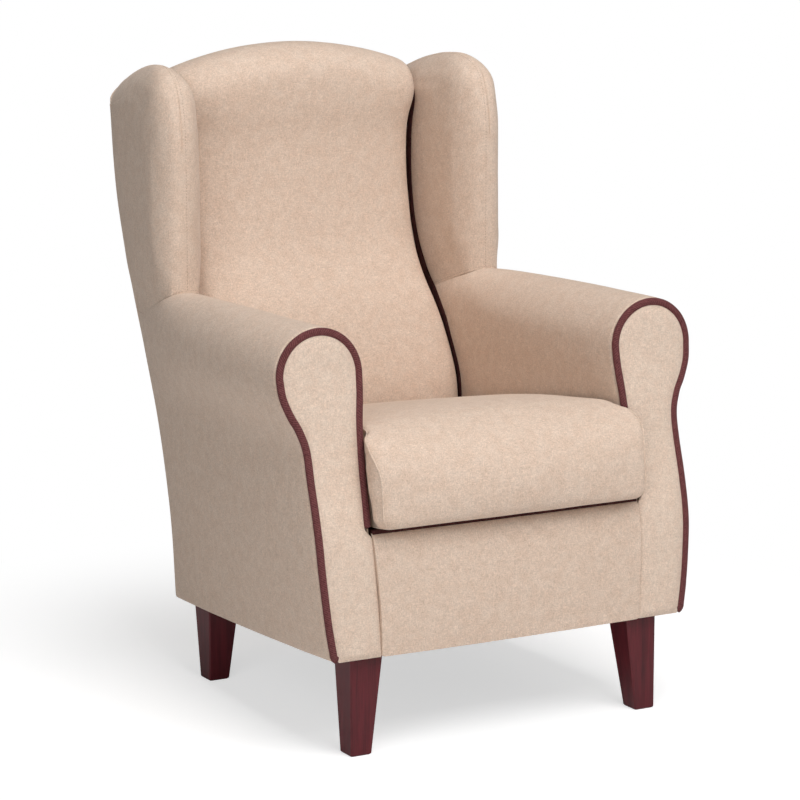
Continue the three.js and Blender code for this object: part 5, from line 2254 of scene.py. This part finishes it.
        def around(u: float, v: float) -> Vector:
            """A point of the welt's surface."""
            spot = v * count
            i = int(spot) % count
            centre = path[i].lerp(path[(i + 1) % count], spot - int(spot))
            across = (path[(i + 2) % count] - path[i - 1]).cross(out).normalized()
            angle = u * math.tau
            return centre + (out * math.cos(angle) + across * math.sin(angle)) * radius

        mesh = laid_tube(self.welt_sides, count * 2, around)
        piece = shown(mesh, f"{side.label}_cushion_welt")
        self.shop.declare(piece, self.shop.finishes.facing, "cover", body=Body.CUSHION)


@dataclass
class Carcass:
    """The CAD nodes that stay: legs, hardware, rails, boards and springs."""

    finishes: Finishes
    spring_count: int = 5

    def build(self) -> None:
        """Dresses the nodes."""
        finishes = self.finishes
        timber = finishes.timber
        sided = (
            (("front_leg", "rear_leg"), finishes.legs),
            (("front_leg_bolt", "rear_leg_bolt"), finishes.steel),
            (("front_corner_block", "rear_corner_block"), timber[Axis.ACROSS]),
            (("seat_side_rail", "arm_rail"), timber[Axis.DEEP]),
            (("arm_front_board", "wing_board"), finishes.plywood),
            (("back_post",), timber[Axis.UPRIGHT]),
        )
        for nodes, material in sided:
            for side in Side:
                for node in nodes:
                    finishes.dress(f"{side.label}_{node}", material)
        for node in ("seat_front_rail", "seat_rear_rail", "back_top_rail", "back_tail_rail"):
            finishes.dress(node, timber[Axis.ACROSS])
        for index in range(1, self.spring_count + 1):
            finishes.dress(f"seat_spring_{index}", finishes.steel)
        log.info("carcass dressed")


@dataclass(frozen=True)
class Lamp:
    """A square soft box that looks at the chair."""

    name: str
    azimuth: float
    elevation: float
    power: float
    size: float = 3
    distance: float = 5.5
    aim: Point = (0, 0, 0.5)

    def hang(self) -> None:
        """Places the lamp."""
        light = bpy.data.lights.new(self.name, "AREA")
        light.energy = self.power
        light.size = self.size
        piece = bpy.data.objects.new(self.name, light)
        bpy.context.scene.collection.objects.link(piece)
        turn, rise = math.radians(self.azimuth), math.radians(self.elevation)
        across = math.cos(rise)
        away = Vector((across * math.sin(turn), -across * math.cos(turn), math.sin(rise)))
        piece.location = Vector(self.aim) + away * self.distance
        piece.rotation_euler = (-away).to_track_quat("-Z", "Y").to_euler()


@dataclass
class Studio:
    """Floor, backdrop, lamps and camera."""

    camera_place: Point = (-2.522, -4.512, 1.448)
    pitch: float = 10.67
    azimuth: float = -29.48
    lens: float = 141.08
    sensor: float = 36
    floor_size: float = 14
    floor_tone: float = 0.88
    floor_glow: float = 2
    floor_glow_share: float = 0.3
    plain_from: float = 0.5
    plain_to: float = 1.1
    ambient: float = 0.06
    lamps: tuple[Lamp, ...] = (
        Lamp("key_soft_box", 2, 50, 172),
        Lamp("top_soft_box", 0, 82, 112),
        Lamp("left_soft_box", -48, 18, 78),
        Lamp("right_soft_box", 42, 32, 34),
    )

    @staticmethod
    def _mixed(nodes: Nodes, factor: Term, first: Node, second: Node) -> Node:
        """Two shaders mixed by a factor."""
        inputs = {0: factor, 1: first.outputs[0], 2: second.outputs[0]}
        return nodes.node("ShaderNodeMixShader", {}, inputs)

    def floor(self) -> None:
        """A white floor that keeps the shadow near the chair and is plain white further off."""
        mesh = bmesh.new()
        bmesh.ops.create_grid(mesh, x_segments=1, y_segments=1, size=self.floor_size)
        piece = shown(mesh, "studio_floor")
        material = bpy.data.materials.new("studio_white")
        material.use_nodes = True
        nodes = Nodes(material.node_tree)
        seen = Wire(nodes, nodes.node("ShaderNodeLightPath").outputs["Is Camera Ray"])
        place = nodes.node("ShaderNodeTexCoord").outputs["Object"]
        away = nodes.node("ShaderNodeVectorMath", {"operation": "LENGTH"}, {0: place})
        fade = nodes.node(
            "ShaderNodeMapRange", {"interpolation_type": "SMOOTHSTEP"},
            {"Value": away.outputs["Value"], "From Min": self.plain_from, "From Max": self.plain_to},
        )
        tone = self.floor_tone
        matte = nodes.node("ShaderNodeBsdfDiffuse", {}, {"Color": (tone, tone, tone, 1)})
        glow = nodes.node("ShaderNodeEmission", {}, {"Strength": self.floor_glow})
        plain = nodes.node("ShaderNodeEmission")
        near = self._mixed(nodes, seen * self.floor_glow_share, matte, glow)
        far = self._mixed(nodes, Wire(nodes, fade.outputs[0]) * seen, near, plain)
        nodes.node("ShaderNodeOutputMaterial", {}, {"Surface": far.outputs[0]})
        piece.data.materials.append(material)

    def backdrop(self) -> None:
        """An even pale world, pure white to the camera."""
        world = bpy.data.worlds.new("studio")
        bpy.context.scene.world = world
        world.use_nodes = True
        nodes = Nodes(world.node_tree)
        rays = nodes.node("ShaderNodeLightPath").outputs["Is Camera Ray"]
        dim = nodes.node("ShaderNodeBackground", {}, {"Color": WHITE, "Strength": self.ambient})
        white = nodes.node("ShaderNodeBackground", {}, {"Color": WHITE, "Strength": 1})
        blend = self._mixed(nodes, rays, dim, white)
        nodes.node("ShaderNodeOutputWorld", {}, {"Surface": blend.outputs[0]})

    def camera(self) -> None:
        """The photograph's camera."""
        data = bpy.data.cameras.new("camera")
        data.sensor_width = self.sensor
        data.lens = self.lens
        piece = bpy.data.objects.new("camera", data)
        bpy.context.scene.collection.objects.link(piece)
        piece.location = self.camera_place
        piece.rotation_euler = (math.radians(90 - self.pitch), 0, math.radians(self.azimuth))
        bpy.context.scene.camera = piece

    def build(self) -> None:
        """Sets the scene."""
        self.camera()
        self.floor()
        self.backdrop()
        for lamp in self.lamps:
            lamp.hang()
        bpy.context.scene.view_settings.view_transform = "Standard"


def main() -> None:
    """Builds the chair's finishes, soft pieces and studio in order."""
    logging.basicConfig(level=logging.INFO, format="%(message)s")
    Studio().build()
    form = ChairForm()
    finishes = Finishes()
    shop = Upholsterer(form, finishes)
    Carcass(finishes).build()
    for group in (
        ScrollArms(form, shop), Wings(form, shop), Back(form, shop), SeatBody(form, shop),
        SeatCushion(form, shop),
    ):
        group.build()
    bpy.context.view_layer.update()


if __name__ == "__main__":
    main()
